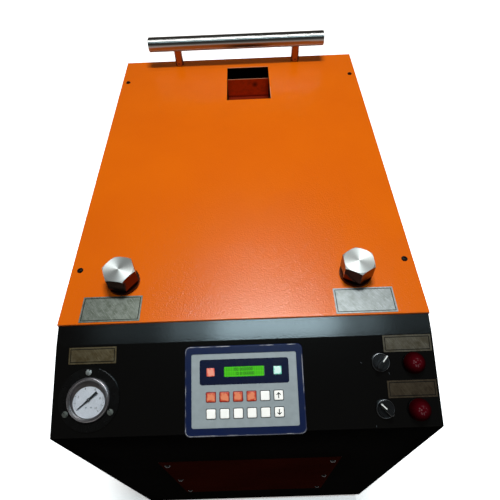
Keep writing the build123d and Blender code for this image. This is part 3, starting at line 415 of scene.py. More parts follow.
@patterned
def engraving_plate(node, spot, colour, tarnish):
    """Brushed aluminium plate stock that has been handled: short brush lines across it, blots of
    tarnish a few millimetres wide, and slanting scratches that catch the light."""
    along = node("Mapping", {"Vector": spot, "Scale": (1, 14, 14)})
    lines = node("TexNoise", {"Vector": along, "Scale": 1 / 0.012, "Detail": 4.0, "Roughness": 0.7})
    blots = node("TexNoise", {"Vector": spot, "Scale": 1 / 0.011, "Detail": 4.0, "Roughness": 0.65})
    worn = node("MapRange", {"Value": blots, "From Min": 0.38, "From Max": 0.66})
    slanting = node("Mapping", {"Vector": spot, "Rotation": (0, 0, 0.9)})
    drawn_out = node("Mapping", {"Vector": slanting, "Scale": (1, 16, 1)})
    strokes = node("TexNoise", {"Vector": drawn_out, "Scale": 1 / 0.022, "Detail": 3.0, "Roughness": 0.7})
    bright = node("MapRange", {"Value": strokes, "From Min": 0.52, "From Max": 0.72, "To Max": 0.8})
    dull = node("Mix", {"Factor": worn, MIX_A: colour, MIX_B: tarnish})
    tone = node("Mix", {"Factor": bright, MIX_A: dull, MIX_B: linear(colour, 1.6)})
    rough = node("MapRange", {"Value": lines, **NOISE_SPAN, "To Min": 0.44, "To Max": 0.6})
    skin = node("Bump", {"Height": lines, "Distance": 0.02 * MM})
    return {"Base Color": tone, "Roughness": rough, "Normal": skin, "Metallic": 1.0}


@patterned
def lathe_faced(node, spot, colour, gloss, flank_painted_shade, flank_rough, centre, turn=(0, 0, 0), ring_mm=0.9,
                depth_mm=0.004, streak=0.55):
    """Metal faced on a lathe: fine rings round the axis spread every highlight outwards from the middle, so that
    the face shows two bright fans and two dark ones, and their shine drifts from ring to ring. The flanks, which
    turn away from the axis, take a darker colour as a painted reflection of shaded surroundings and painted
    shade."""
    local = node("Mapping", {"Vector": spot, "Location": centre, "Rotation": turn}, vector_type="TEXTURE")
    flat = node("VectorMath", {0: local, 1: (1, 1, 0)}, operation="MULTIPLY")
    out = node("VectorMath", {0: flat}, operation="LENGTH")
    along = node("CombineXYZ", {"X": out})
    rings = node("TexNoise", {"Vector": along, "Scale": 1 / (ring_mm * MM), "Detail": 3.0})
    even = node("MapRange", {"Value": rings, **NOISE_SPAN})
    face = node("Mix", {"Factor": even, MIX_A: colour, MIX_B: linear(colour, 0.8)})
    # Painted reflection and shade: faces that turn away from the axis take the darker flank colour
    normal = node("NewGeometry").outputs["True Normal"]
    upright = node("VectorMath", {0: normal, 1: (0, -math.sin(turn[0]), math.cos(turn[0]))},
                   operation="DOT_PRODUCT")
    facing = node("MapRange", {"Value": upright, "From Min": 0.2, "From Max": 0.6})
    tone = node("Mix", {"Factor": facing, MIX_A: flank_painted_shade, MIX_B: face})
    turned_rough = node("MapRange", {"Value": even, "To Min": gloss[0], "To Max": gloss[1]})
    rough = node("MapRange", {"Value": facing, "To Min": flank_rough, "To Max": turned_rough})
    skin = node("Bump", {"Height": rings, "Distance": depth_mm * MM})
    outwards = node("Mapping", {"Vector": flat, "Rotation": turn})
    return {"Base Color": tone, "Roughness": rough, "Normal": skin, "Metallic": 1.0, "Tangent": outwards,
            "Anisotropic": streak}


@patterned
def moulded(node, spot, colour, gloss=(0.35, 0.45), depth_mm=0.02, specular=0.5, glow=0.0):
    """Injection-moulded plastic, or a printed film: a fine even grain from the mould softens the
    shine, and the colour drifts slightly with the flow."""
    grain = node("TexNoise", {"Vector": spot, "Scale": 1 / 0.0006, "Detail": 2.0})
    flow = node("TexNoise", {"Vector": spot, "Scale": 1 / 0.012, "Detail": 2.0})
    even = node("MapRange", {"Value": flow, **NOISE_SPAN})
    tone = node("Mix", {"Factor": even, MIX_A: colour, MIX_B: linear(colour, 0.88)})
    rough = node("MapRange", {"Value": even, "To Min": gloss[0], "To Max": gloss[1]})
    skin = node("Bump", {"Height": grain, "Distance": depth_mm * MM})
    return {"Base Color": tone, "Roughness": rough, "Normal": skin, "Specular IOR Level": specular,
            "Emission Color": colour, "Emission Strength": glow}


@patterned
def worn_edge(node, spot, colour, worn, patch_mm, share):
    """A moulded edge with painted highlights: for a share of its length the colour is pale, in patches that fade
    into one another, where the edge would catch the light."""
    patches = node("TexNoise", {"Vector": spot, "Scale": 1 / (patch_mm * MM), "Detail": 2.0})
    lit_share = node("MapRange", {"Value": patches, "From Min": 0.62 - share / 3, "From Max": 0.72 - share / 3})
    tone = node("Mix", {"Factor": lit_share, MIX_A: colour, MIX_B: worn})
    rough = node("MapRange", {"Value": lit_share, "To Min": 0.35, "To Max": 0.55})
    return {"Base Color": tone, "Roughness": rough}


def float_glass(name):
    """Flat float glass: clear straight through, and more and more a mirror at a slant. Its share of
    mirror is about 0.04 + 0.96 x (1 - cosine of the slant) to the fifth power."""
    made, node = blank(name)
    clear = node("BsdfTransparent", {"Color": (0.97, 0.985, 0.98, 1)})
    mirror = node("BsdfPrincipled", {"Base Color": (1, 1, 1, 1), "Roughness": 0.04, "Metallic": 1.0})
    slant = node("LayerWeight", {"Blend": 0.5}).outputs["Facing"]
    steep = node("Math", {0: slant, 1: 5.0}, operation="POWER")
    share = node("Math", {0: steep, 1: 0.96, 2: 0.04}, operation="MULTIPLY_ADD")
    node("OutputMaterial", {"Surface": node("MixShader", {0: share, 1: clear, 2: mirror})})
    return made


@patterned
def backlit_display(node, spot, light, cell):
    """A backlit liquid-crystal panel: the light shows brighter between the cells of its two rows,
    which stay faintly darker."""
    local = node("Mapping", {"Vector": spot, **console_axes(0, DISPLAY_S)}, vector_type="TEXTURE")
    cells = node("TexBrick", {
        "Vector": local, "Color1": (1, 1, 1, 1), "Color2": (0.85, 0.85, 0.85, 1), "Mortar": (0, 0, 0, 1),
        "Scale": 1.0, "Mortar Size": 0.0004, "Brick Width": 0.0038, "Row Height": 0.0065}, offset=0.0)
    tone = node("Mix", {"Factor": cells, MIX_A: light, MIX_B: cell})
    return {"Base Color": tone, "Roughness": 0.3, "Emission Color": tone, "Emission Strength": 0.35}


@patterned
def lit_key(node, spot, middle, rim, s, glow):
    """A translucent silicone key lit from below, at a place s up the console: pale where the lamp
    shines through its middle, and deeper towards its four edges. Keys stand every 22 mm, so the
    distance across is folded at that pitch."""
    local = node("Mapping", {"Vector": spot, **console_axes(0, s)}, vector_type="TEXTURE")
    parts = node("SeparateXYZ", {"Vector": local}).outputs
    folded = node("Math", {0: parts["X"], 1: KEY_PITCH * MM / 2}, operation="PINGPONG")
    across = node("Math", {0: KEY_PITCH * MM / 2, 1: folded}, operation="SUBTRACT")
    up = node("Math", {0: parts["Y"]}, operation="ABSOLUTE")
    out = node("Math", {0: across, 1: up}, operation="MAXIMUM")
    drift = node("TexNoise", {"Vector": spot, "Scale": 1 / 0.005, "Detail": 1.0})
    uneven = node("MapRange", {
        "Value": drift, "From Min": 0.35, "From Max": 0.65, "To Min": -0.0012, "To Max": 0.0012})
    place = node("Math", {0: out, 1: uneven}, operation="ADD")
    share = node("MapRange", {"Value": place, "From Min": 0.0042, "From Max": 0.0068})
    tone = node("Mix", {"Factor": share, MIX_A: middle, MIX_B: rim})
    return {"Base Color": tone, "Roughness": 0.4, "Emission Color": tone, "Emission Strength": glow}


@patterned
def lamp_red(node, spot, x, s):
    """A moulded polycarbonate lens tinted through, at a place x, s on the console: deep red, darker
    to its edge, with the ring of small diodes behind it showing as paler spots round its middle.
    It has lost its shine."""
    local = node("Mapping", {"Vector": spot, **console_axes(x, s)}, vector_type="TEXTURE")
    flat = node("VectorMath", {0: local, 1: (1, 1, 0)}, operation="MULTIPLY")
    out = node("VectorMath", {0: flat}, operation="LENGTH")
    diodes = node("TexVoronoi", {"Vector": flat, "Scale": 1 / 0.0034, "Randomness": 0.7})
    dots = node("MapRange", {"Value": diodes, "From Min": 0.2, "From Max": 0.5, "To Min": 1.0, "To Max": 0.0})
    ring = node("MapRange", {
        "Value": out, "From Min": 0.0055, "From Max": 0.0085, "To Min": 0.5, "To Max": 0.0},
        interpolation_type="SMOOTHSTEP")
    share = node("Math", {0: dots, 1: ring}, operation="MULTIPLY")
    depth = node("MapRange", {"Value": out, "From Min": 0.006, "From Max": 0.0155})
    red = node("Mix", {"Factor": depth, MIX_A: "#46060E", MIX_B: "#260104"})
    tone = node("Mix", {"Factor": share, MIX_A: red, MIX_B: "#8E686C"})
    return {"Base Color": tone, "Roughness": 0.3, "Specular IOR Level": 0.0}


def console_axes(x, s):
    """The centre and the turn of axes that stand on the sloping panel at x, s."""
    origin, right, upwards = (Vector(v) for v in FACES["console"])
    return {"Location": tuple(origin + right * x * MM + upwards * s * MM), "Rotation": (SLOPE, 0, 0)}


def ring_axes(node_name, turn=(0, 0, 0)):
    """The middle of a round node, as the centre of its lathe marks."""
    low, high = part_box(node_name)
    return {"centre": tuple((low + high) / 2), "turn": turn}


# Sheet metal. The lid's coat is warm and glossy, so that the room's lamps show as soft pale clouds
ORANGE = powder_coat("powder_coated_steel_orange", "#E26702", "#DC6100", 2.2, 0.38, (0.2, 0.23))
# A pale line painted along an edge: a painted highlight where the edge catches the light
ORANGE_EDGE_HIGHLIGHT = powder_coat("powder_coated_edge_pale_orange", "#F2A884", "#E89A70", 3.5, 0.02, (0.22, 0.3))
# The flue's sheets, in painted shade: at the weir the orange coat is given the deep red that it takes in shade
# lit by light bounced off orange, and below it the trough is nearly black, sooted and in painted shade
WEIR_RED_PAINTED_SHADE = sooted_coat("powder_coated_steel_scorched", "#FF3C04", "#4A1002", (0.045, WEIR_Y - 0.0015, 0.846), 13,
                       0.806)
SOOT_AND_PAINTED_SHADE = sooted_coat("powder_coated_steel_sooted", "#2A0A02", "#060202", (0.0255, WEIR_Y, 0.82), 60, 0.8)
# The access panel's dull dark red is painted shade: the lid's orange as it looks in the front's deep shade
MAROON_PAINTED_SHADE = powder_coat("powder_coated_steel_maroon", "#3A120A", "#2E0E08", 3.0, 0.05, (0.8, 0.9), 0.0)
# The console is a deep glossy black, which holds the skylight as one bluish band; the sides are satin
BLACK = powder_coat("powder_coated_steel_black", "#060707", "#050505", 2.4, 0.06, (0.13, 0.15))
SATIN_BLACK = powder_coat("powder_coated_steel_satin_black", "#101010", "#0C0C0C", 3.0, 0.05, (0.45, 0.55), 0.15)
BLACK_TRAY = powder_coat("powder_coated_steel_black_satin", "#101010", "#0B0B0B", 2.5, 0.05, (0.55, 0.65))
# The upright front has a coat with a matting agent, which takes nearly all of its shine
MATT_BLACK = powder_coat("powder_coated_steel_matt_black", "#141312", "#100F0E", 3.0, 0.06, (0.85, 0.95), 0.0)

# Bare metal. The handle's tube shows one long bright line. The posts and the necks are tinted with a painted
# reflection of the lid's orange, and the necks are darkened as painted shade under the caps
STEEL_TUBE = polished_steel("polished_stainless_tube", "#A2A3A0", (0.3, 0.36), (12, 1, 1), 1.2, 0.0001, 0.9)
STEEL_POST = polished_steel("polished_stainless_rod", "#A07C70", (0.16, 0.26), (1, 1, 12), 1.2, 0.002)
STEEL_NECK = polished_steel("oil_darkened_steel_neck", "#4C2A20", (0.28, 0.4), (1, 1, 12), 1.2, 0.006)
# Small soft greys: screws, rings, the outlet and the feet
SCREW_BRIGHT = polished_steel("zinc_plated_screw", "#7E827C", (0.45, 0.6))
SCREW_PALER = polished_steel("zinc_plated_screw_new", "#D2D6D4", (0.4, 0.5))
# A grey ring in the gauge, broadest at the top, where it is a painted shadow of the bezel's rim on the dial
SHADOW_CRESCENT_RING = polished_steel("pressed_steel_ring_grey", "#706A6C", (0.4, 0.5))
# A bright metal ring that stands in for the highlight on a glossy black edge: painted highlight
RIM_HIGHLIGHT_METAL = polished_steel("worn_chromed_rim", "#7E8286", (0.3, 0.4), depth_mm=0.004)
OUTLET = polished_steel("machined_steel_pipe", "#8F9192", (0.3, 0.45), (1, 20, 1))
ZINC = polished_steel("zinc_plated_steel", "#9C9EA0", (0.4, 0.55), line_mm=4.0, depth_mm=0.02)
# The plates, one metal in a colour for each, from the brightest on the lid to the dullest in the console's shade:
# the differences are painted reflection and painted shade
PLATE_METAL = {
    plate: engraving_plate("brushed_aluminium_plate" + finish, colour, tarnish)
    for plate, finish, colour, tarnish in (
        ("right_lid_plate", "", "#8F9595", "#7E8482"), ("left_lid_plate", "_handled", "#7A8078", "#5C6258"),
        ("gauge_plate", "_browned", "#6E634C", "#5A4C34"), ("upper_lamp_plate", "_greyed", "#666054", "#544C3E"),
        ("lower_lamp_plate", "_dull", "#524739", "#40352A"))}
# Turned faces: a silvery ring round the gauge, and bright fans on the filler caps. The flanks are painted darker;
# the caps' dark red-brown flanks are a painted reflection of the lid in the caps' shade
BEZEL = lathe_faced("lathe_turned_chromed_brass", "#BAB5B8", (0.3, 0.42), "#A29DA0", 0.3, ring_mm=1.1,
                    depth_mm=0.012, streak=0.4, **ring_axes("gauge_case", (SLOPE, 0, 0)))
CAP_METAL = {
    cap: lathe_faced("lathe_faced_stainless_" + side, colour, (0.4, 0.5), "#5A2C20", 0.14, **ring_axes(cap))
    for cap, side, colour in (("diesel_filler_cap", "left", "#D0D5D3"), ("water_filler_cap", "right", "#CCD1CF"))}

# Plastics: blacks that differ only in their sheen, and the controller's navy frame
FLANGE = moulded("moulded_phenolic_black", "#060606", (0.24, 0.3), 0.004, 0.4)
COLLAR = moulded("moulded_nylon_collar", "#0B0B0C", (0.3, 0.4), 0.01, 0.3)
KNOB = moulded("moulded_nylon_black", "#0A0B0D", (0.28, 0.38), 0.01, 0.4)
GLAND = moulded("moulded_nylon_gland", "#17181A", (0.4, 0.5))
SCREW_BLACK = moulded("blackened_steel_screw", "#0A0605", (0.4, 0.5), 0.01, 0.15)
NAVY = moulded("moulded_abs_navy", "#0C1B44", (0.3, 0.38), 0.01, 0.35)
# Thin edges with painted highlights: pale patches along them stand in for the light that they catch in places
NAVY_EDGE = worn_edge("moulded_abs_edge_worn", "#16244A", "#A8A8AC", 30, 0.45)
FLANGE_EDGE = worn_edge("moulded_phenolic_edge_worn", "#1A1B1C", "#6A6E72", 20, 0.8)

# Printed and painted films, smooth and flat in tone: the overlay and its window, marks, figures, dial
FILM = {"gloss": (0.4, 0.5), "depth_mm": 0.004}
OVERLAY = moulded("printed_polyester_film_grey", "#A3ACAF", (0.34, 0.44), 0.006)
WINDOW = moulded("printed_polyester_film_navy", "#0B1433", (0.22, 0.26), 0.002)
MARK_GREY = moulded("printed_ink_dim_grey", "#34383C", **FILM)
PRINT_GREY = moulded("printed_ink_grey", "#1C2024", **FILM)
PRINT_RED = moulded("printed_ink_dark_red", "#7A1C16", **FILM)
PRINT_BLACK = moulded("printed_ink_black", "#101214", **FILM)
PRINT_FAINT = moulded("printed_ink_pale_grey", "#8E98A4", **FILM)
PRINT_WHITE = moulded("filled_paint_white", "#EDEDE8", **FILM)
PRINT_BROWN = moulded("engraved_line_dark", "#0A0907", (0.6, 0.7), 0.004, 0.1)
DIAL = moulded("enamelled_dial_white", "#E8E6F0", **FILM)
POINTER = moulded("painted_brass_pointer_black", "#141B22")
GLASS = float_glass("float_glass_clear")

# Lights of the controller: a green display and coloured lit keys. The white keys glow a little too: painted
# light, to make them brighter
DISPLAY = backlit_display("liquid_crystal_green", "#48BC0C", "#38A004")
DIGIT = moulded("liquid_crystal_dark_cell", "#124206", (0.3, 0.4), 0.002)
KEY_WHITE = moulded("moulded_abs_cream", "#F8F6F0", depth_mm=0.01, glow=0.3)
KEY_ORANGE = lit_key("lit_silicone_orange", "#E6865E", "#C03018", LIT_ROW_S, 0.13)
KEY_RED = lit_key("lit_silicone_red", "#F2967E", "#D23224", DISPLAY_S, 0.16)
KEY_GREEN = lit_key("lit_silicone_mint", "#D8F6EC", "#62CDB2", DISPLAY_S, 0.16)
# Deep red domes with the diodes showing faintly
LENS = {"upper_lamp_lens": lamp_red("tinted_polycarbonate_red_upper", LAMP_X, UPPER_LAMP_S),
        "lower_lamp_lens": lamp_red("tinted_polycarbonate_red_lower", LAMP_X, LOWER_LAMP_S)}

NODE_FINISH = {
    BLACK_TRAY: "base_tray", SATIN_BLACK: "side_panel_left side_panel_right rear_panel",
    BLACK: "console_front", MAROON_PAINTED_SHADE: "access_panel", ORANGE: "lid", SOOT_AND_PAINTED_SHADE: "exhaust_trough",
    WEIR_RED_PAINTED_SHADE: "exhaust_weir", STEEL_TUBE: "handle_bar", STEEL_POST: "handle_post_left handle_post_right",
    STEEL_NECK: "diesel_filler_neck water_filler_neck", FLANGE: "gauge_flange", BEZEL: "gauge_case",
    DIAL: "gauge_dial", POINTER: "gauge_pointer", GLASS: "gauge_glass", NAVY: "controller_frame",
    OVERLAY: "controller_overlay", DISPLAY: "controller_display", OUTLET: "steam_outlet",
    GLAND: "cable_gland", KNOB: "upper_switch_knob lower_switch_knob",
    COLLAR: "upper_switch_bezel lower_switch_bezel upper_lamp_bezel lower_lamp_bezel",
    ZINC: "foot_front_left foot_front_right foot_rear_left foot_rear_right",
    **{finish: name for name, finish in {**CAP_METAL, **PLATE_METAL, **LENS}.items()},
}
for finish, names in NODE_FINISH.items():
    for name in names.split():
        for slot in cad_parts[name].material_slots:
            slot.material = finish


# Sheet metal: the front's matt coat, and painted highlights along edges that catch the light

# A film or a mark reaches this far into the face that it lies on
SUNK = -0.1
COAT_HALF_WIDTH, COAT_FOOT = 316.8, 55.2
ACCESS_PANEL = (-183, 183, 221.5, 621.5)
front_coat = sheet_with_opening((-COAT_HALF_WIDTH, COAT_HALF_WIDTH, COAT_FOOT, BEND_FOOT_Z / MM), ACCESS_PANEL,
                                SUNK, -SUNK)
bend_coat = bend_film(FRONT_BEND / MM, -SUNK, 90 + math.degrees(SLOPE), COAT_HALF_WIDTH)
piece("front_matt_coat", [seated(front_coat, "front"), seated(bend_coat, "front_bend")], MATT_BLACK)
# Painted highlights along the cut edge of the exhaust opening at its rear and beside its right rear corner, and
# along the weir's top edge
edge_highlights = [bar(-31.4, 439.3, 82.4, 439.3, 1.3, SUNK, 0.08), bar(83.1, 290, 83.1, 340, 1.1, SUNK, 0.08)]
piece("exhaust_edge_highlights", [seated(edge, "lid") for edge in edge_highlights], ORANGE_EDGE_HIGHLIGHT)
piece("weir_top_edge_highlight", [seated(bar(-33.2, -0.75, 84.2, -0.75, 1.4, SUNK, 0.1), "weir_top")], ORANGE_EDGE_HIGHLIGHT)

# Filler caps: the corners of their tops are turned off to a circle a little wider than the flats

CAP_SHAPE = {"flats": 52.0, "top_radius": 26.6, "chamfer": 2.4, "bore": 20.4, "roof": 4.0}
for name, body, turn in (("diesel_filler_cap", "diesel_cap", -9.0), ("water_filler_cap", "water_cap", 31.5)):
    low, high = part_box(name)
    middle = (low + high) / 2 / MM
    shape = hexagon_cap(low=low.z / MM - LID_TOP / MM, high=high.z / MM - LID_TOP / MM,
                        turn=math.radians(turn), **CAP_SHAPE)
    piece(name + "_look", [seated(shape, "lid", middle.x, middle.y)], CAP_METAL[name],
          body=body, replaces=(name,), sharp=20)

# Screws

WASHER_HEAD = [(0, 0), (5.7, 0), (5.7, 0.6), (5.4, 0.9), (4.4, 0.9), (4.4, 2.0), (3.9, 2.8), (2.6, 3.2),
               (1.9, 3.2, 1), (1.9, 1.4, 1), (0, 1.3)]
GRUB_SCREW = [(0, -0.6), (2.2, -0.6), (2.2, 0.2), (1.9, 0.35), (1.2, 0.35, 1), (1.2, -0.5, 1), (0, -0.5)]
PANEL_SHEET, FLANGE_TOP = 1.5, 2.0


def columns(half_width, heights, lift):
    """Screws down the left side and then the right one, each turned a little further: x, up, lift
    and turn of each."""
    places = [(side * half_width, up) for side in (-1, 1) for up in heights]
    return [(x, up, lift, 0.2 * number) for number, (x, up) in enumerate(places)]


lid_places = [(-302, -234.0, 0, 0.3), (302, -234.0, 0, 0.8), (-302, 385.4, 0, 0.1), (302, 385.4, 0, 0.6)]
for name, face, places in (
        ("lid_screws", "lid", lid_places),
        ("access_panel_screws", "front", columns(169.5, (590.5, 421.5, 252.5), PANEL_SHEET)),
        ("rear_panel_screws", "rear", columns(307, (100, 350, 600, 850), 0))):
    heads = [seated(turned(WASHER_HEAD), face, *place) for place in places]
    piece(name, heads, SCREW_BLACK)
# Three slotted screws clamp the gauge's flange, the top one paler than the other two
gauge_screws = [seated(slotted_head(4.9, 1.8, 1.0, 1.7), "console", x, s, FLANGE_TOP, turn)
                for x, s, turn in ((-258.3, 101.9, -0.35), (-293.9, 37.1, 0.9), (-219.9, 38.5, 0.5))]
piece("gauge_top_screw", gauge_screws[:1], SCREW_PALER, sharp=40)
piece("gauge_flange_screws", gauge_screws[1:], SCREW_BRIGHT, sharp=40)
# A grub screw low on the front of each handle post
grub_screws = [seated(turned(GRUB_SCREW, 24), "posts", x, LID_TOP / MM + 8) for x in (-166.5, 159.5)]
piece("handle_grub_screws", grub_screws, SCREW_BLACK)

# Plates: a dark line round each, a little inside its edge

LID_PLATE, CONSOLE_PLATE = (105, 50), (80, 27.3)
BORDER_INSET, BORDER_WIDTH = 2.6, 1.25
borders = []
for name, face, (width, height) in (
        ("left_lid_plate", "lid", LID_PLATE), ("right_lid_plate", "lid", LID_PLATE),
        ("gauge_plate", "console", CONSOLE_PLATE), ("upper_lamp_plate", "console", CONSOLE_PLATE),
        ("lower_lamp_plate", "console", CONSOLE_PLATE)):
    low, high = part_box(name)
    origin, right, upwards = (Vector(v) for v in FACES[face])
    middle = (low + high) / 2 - origin
    line = flat_frame(width / 2 - BORDER_INSET, height / 2 - BORDER_INSET, 1.0, BORDER_WIDTH, PLATE_TOP + SUNK,
                      PLATE_TOP + 0.06)
    borders.append(seated(line, face, middle.dot(right) / MM, middle.dot(upwards) / MM))
piece("plate_borders", borders, PRINT_BROWN)

# Gauge: dial marks, plain numbers and the light on its rims

SCALE_START, SCALE_SWEEP, SCALE_MARKS = 220, 270, 50
MARK_END, LONG_MARK, SHORT_MARK, NUMBER_RADIUS = 26, 22.0, 23.8, 18.3
scale_marks = []
for number in range(SCALE_MARKS + 1):
    angle = math.radians(SCALE_START - number * SCALE_SWEEP / SCALE_MARKS)
    inner, width = (LONG_MARK, 0.6) if number % 5 == 0 else (SHORT_MARK, 0.3)
    c, s = math.cos(angle), math.sin(angle)
    mark = bar(inner * c, inner * s, MARK_END * c, MARK_END * s, width, SUNK / 2, 0.1)
    scale_marks.append(seated(mark, "console", *GAUGE, DIAL_TOP))
piece("dial_marks", scale_marks, PRINT_BLACK)
numbers = []
for number in range(0, 11, 2):
    angle = math.radians(SCALE_START - number * SCALE_SWEEP / 10)
    numbers.append(seated(figure(str(number), 3.4), "console", GAUGE[0] + NUMBER_RADIUS * math.cos(angle),
                          GAUGE[1] + NUMBER_RADIUS * math.sin(angle), DIAL_TOP + 0.04))
piece("dial_numbers", numbers, PRINT_BLACK)
faint = [seated(round_wire(22.6, 0.22, 0, math.radians(SCALE_START - SCALE_SWEEP), math.radians(SCALE_SWEEP)),
                "console", *GAUGE, DIAL_TOP)]
faint += [seated(turned([(0, SUNK / 2), (1.3, SUNK / 2), (1.3, 0.1), (0, 0.12)], 16), "console", GAUGE[0] + dx,
                 GAUGE[1] - 12.5, DIAL_TOP) for dx in (-4.2, 4.2)]
piece("dial_inner_ring", faint, PRINT_FAINT)
# A painted highlight: a pale arc on the flange's upper right edge
highlight_arc = round_wire(50.0, 0.22, 1.95, math.radians(30), math.radians(45))
piece("gauge_flange_edge_painted_highlight", [seated(highlight_arc, "console", *GAUGE)], FLANGE_EDGE)
# A sloping grey ring between the bezel's bore and the dial, and the gasket under the glass. The ring stands for
# the case wall, and its inner edge is flattened a little and set low, so that the ring is broadest at the top:
# there it is a painted shadow, the crescent that the bezel's rim casts on the dial
SHADOW_CRESCENT_PROFILE = [(30.3, 5.6), (29.9, 5.6), (26.6, 0.95), (26.6, 0.75), (30.3, 0.75)]
INNER_SHARE, INNER_DROP = 0.945, 4.6
shadow_crescent_ring, shadow_crescent_faces = turned(SHADOW_CRESCENT_PROFILE, 96, closed=True)
inner = np.hypot(shadow_crescent_ring[:, 0], shadow_crescent_ring[:, 1]) < 28
shadow_crescent_ring[inner, 1] = shadow_crescent_ring[inner, 1] * INNER_SHARE - INNER_DROP
piece("gauge_shadow_crescent_ring", [seated((shadow_crescent_ring, shadow_crescent_faces), "console", *GAUGE)], SHADOW_CRESCENT_RING)
# Dark rings round the bezel: painted shade at the bottom of its fine turned grooves
groove_shade_rings = [seated(round_wire(radius, 0.4, height), "console", *GAUGE)
           for radius, height in ((34.9, 5.5), (32.9, 7.85), (31.0, 7.5))]
piece("gauge_bezel_groove_shade", groove_shade_rings, POINTER)
piece("gauge_gasket", [seated(round_wire(29.3, 0.5, 5.0), "console", *GAUGE)], POINTER)

# Controller

rim = stacked([(96.6, 69.6, 8.1, 7.2), (96.66, 69.66, 8.16, 7.3), (95.95, 68.95, 7.45, 8.03),
               (95.5, 68.5, 7.0, 8.05), (95.5, 68.5, 7.0, 7.9)], closed=True)
piece("controller_rim", [seated(rim, "console", 0, CONTROLLER_S)], NAVY_EDGE)
window = stacked([(73.3, 20.1, 4, SUNK), (73.3, 20.1, 4, 0.12), (33.0, 8.0, 1.5, 0.12), (33.0, 8.0, 1.5, SUNK)],
                 closed=True)
piece("controller_window", [seated(window, "console", 0.2, DISPLAY_S, OVERLAY_TOP)], WINDOW)
# Two rows of plain figures on the display
digits = [seated(figure(text, 5.0), "console", x, DISPLAY_S + up, DISPLAY_TOP + 0.04)
          for text, x, up in (("00 000000", -1.0, 3.4), ("0 0 00000", 2.0, -3.4))]
piece("display_figures", digits, DIGIT)


def key_cap(size):
    """A square key with rounded corners: straight sides, a rolled edge and a slightly dished top."""
    half = size / 2
    return stacked([(half, half, 1.4, 0), (half, half, 1.4, 0.35), (half - 0.15, half - 0.15, 1.25, 0.65),
                    (half - 0.5, half - 0.5, 0.9, 0.8), (half - 2.5, half - 2.5, 0.5, 0.72), (0, 0, 0, 0.66)])


KEY_SIZE, LIT_KEY_SIZE, OUTLINE_HALF = 14.3, 13.2, 8.35
key_places = [((column - 2.5) * KEY_PITCH, LIT_ROW_S - row * KEY_ROWS)
              for row in range(2) for column in range(6)]
lit_places, plain_places = key_places[:4], key_places[4:]
for name, places, size, finish in (
        ("keys_plain", plain_places, KEY_SIZE, KEY_WHITE), ("keys_lit", lit_places, KEY_SIZE, KEY_ORANGE),
        ("key_lit_left", [(-55, DISPLAY_S)], LIT_KEY_SIZE, KEY_RED),
        ("key_lit_right", [(55, DISPLAY_S)], LIT_KEY_SIZE, KEY_GREEN)):
    caps = [seated(key_cap(size), "console", x, s, OVERLAY_TOP) for x, s in places]
    piece(name, caps, finish, replaces=("controller_keys",))
outline = flat_frame(OUTLINE_HALF, OUTLINE_HALF, 2.2, 1.4, SUNK, 0.15)
for name, places, finish in (("key_outlines_plain", plain_places, PRINT_GREY),
                             ("key_outlines_lit", lit_places, PRINT_RED)):
    piece(name, [seated(outline, "console", x, s, OVERLAY_TOP) for x, s in places], finish)

# An arrow up and an arrow down on the last key of each row
arrow = np.array([(-0.8, -4.6), (0.8, -4.6), (0.8, 2), (2.8, 0), (3.8, 1), (0, 4.8), (-3.8, 1), (-2.8, 0),
                  (-0.8, 2)])
arrows = [seated(prism(arrow, 0.6, 0.84, (0, 3.4)), "console", x, s, OVERLAY_TOP, turn)
          for (x, s), turn in ((key_places[5], 0), (key_places[11], math.pi))]
piece("key_arrows", arrows, PRINT_BLACK)

# Switches: a white pointer line on each grip, a bright metal ring on each collar that stands in for the highlight
# on its glossy black edge (painted highlight), and short marks beside them

for name, body, s, angle in (("upper_knob_line", "upper_knob", UPPER_SWITCH_S, -40),
                             ("lower_knob_line", "lower_knob", LOWER_SWITCH_S, 45)):
    line = seated(bar(0, 1.0, 0, 13.0, 2.1, SUNK, 0.15), "console", SWITCH_X, s, KNOB_TOP, math.radians(angle))
    piece(name, [line], PRINT_WHITE, body=body)
rims = [seated(round_wire(14.0, 0.38, 4.2), "console", SWITCH_X, s) for s in (UPPER_SWITCH_S, LOWER_SWITCH_S)]
piece("switch_rim_highlights", rims, RIM_HIGHLIGHT_METAL)
marks = [seated(bar(0, -1.5, 0, 1.5, 0.9, SUNK / 2, 0.08), "console", x, s, 0, turn)
         for x, s, turn in ((194.2, 102.7, 0.9), (238.8, 84.1, 0.2), (209.9, 3.4, 0.1))]
piece("switch_marks", marks, MARK_GREY)

# Lamp lenses: each seated in its collar and a little wider above it, closing in a round dome: radius
# times the cosine, and height times the sine, of a quarter turn

LENS_RADIUS, SEAT_RADIUS = 17.4, 15.7
LENS_FOOT, SEAT_TOP, DOME_FOOT, DOME_TOP = 1.5, 3.05, 4.4, 20.0
dome_turn = np.linspace(0, math.pi / 2, 14)[:-1]
dome = zip(LENS_RADIUS * np.cos(dome_turn), DOME_FOOT + (DOME_TOP - DOME_FOOT) * np.sin(dome_turn))
lens_profile = [(0, LENS_FOOT), (SEAT_RADIUS, LENS_FOOT), (SEAT_RADIUS, SEAT_TOP), (LENS_RADIUS, SEAT_TOP),
                *dome, (0, DOME_TOP)]
for name, s in (("upper_lamp_lens", UPPER_LAMP_S), ("lower_lamp_lens", LOWER_LAMP_S)):
    piece(name + "_look", [seated(turned(lens_profile), "console", LAMP_X, s)], LENS[name],
          replaces=(name,), sharp=40)

# Rear connections: the outlet's thread and the gland's ribs

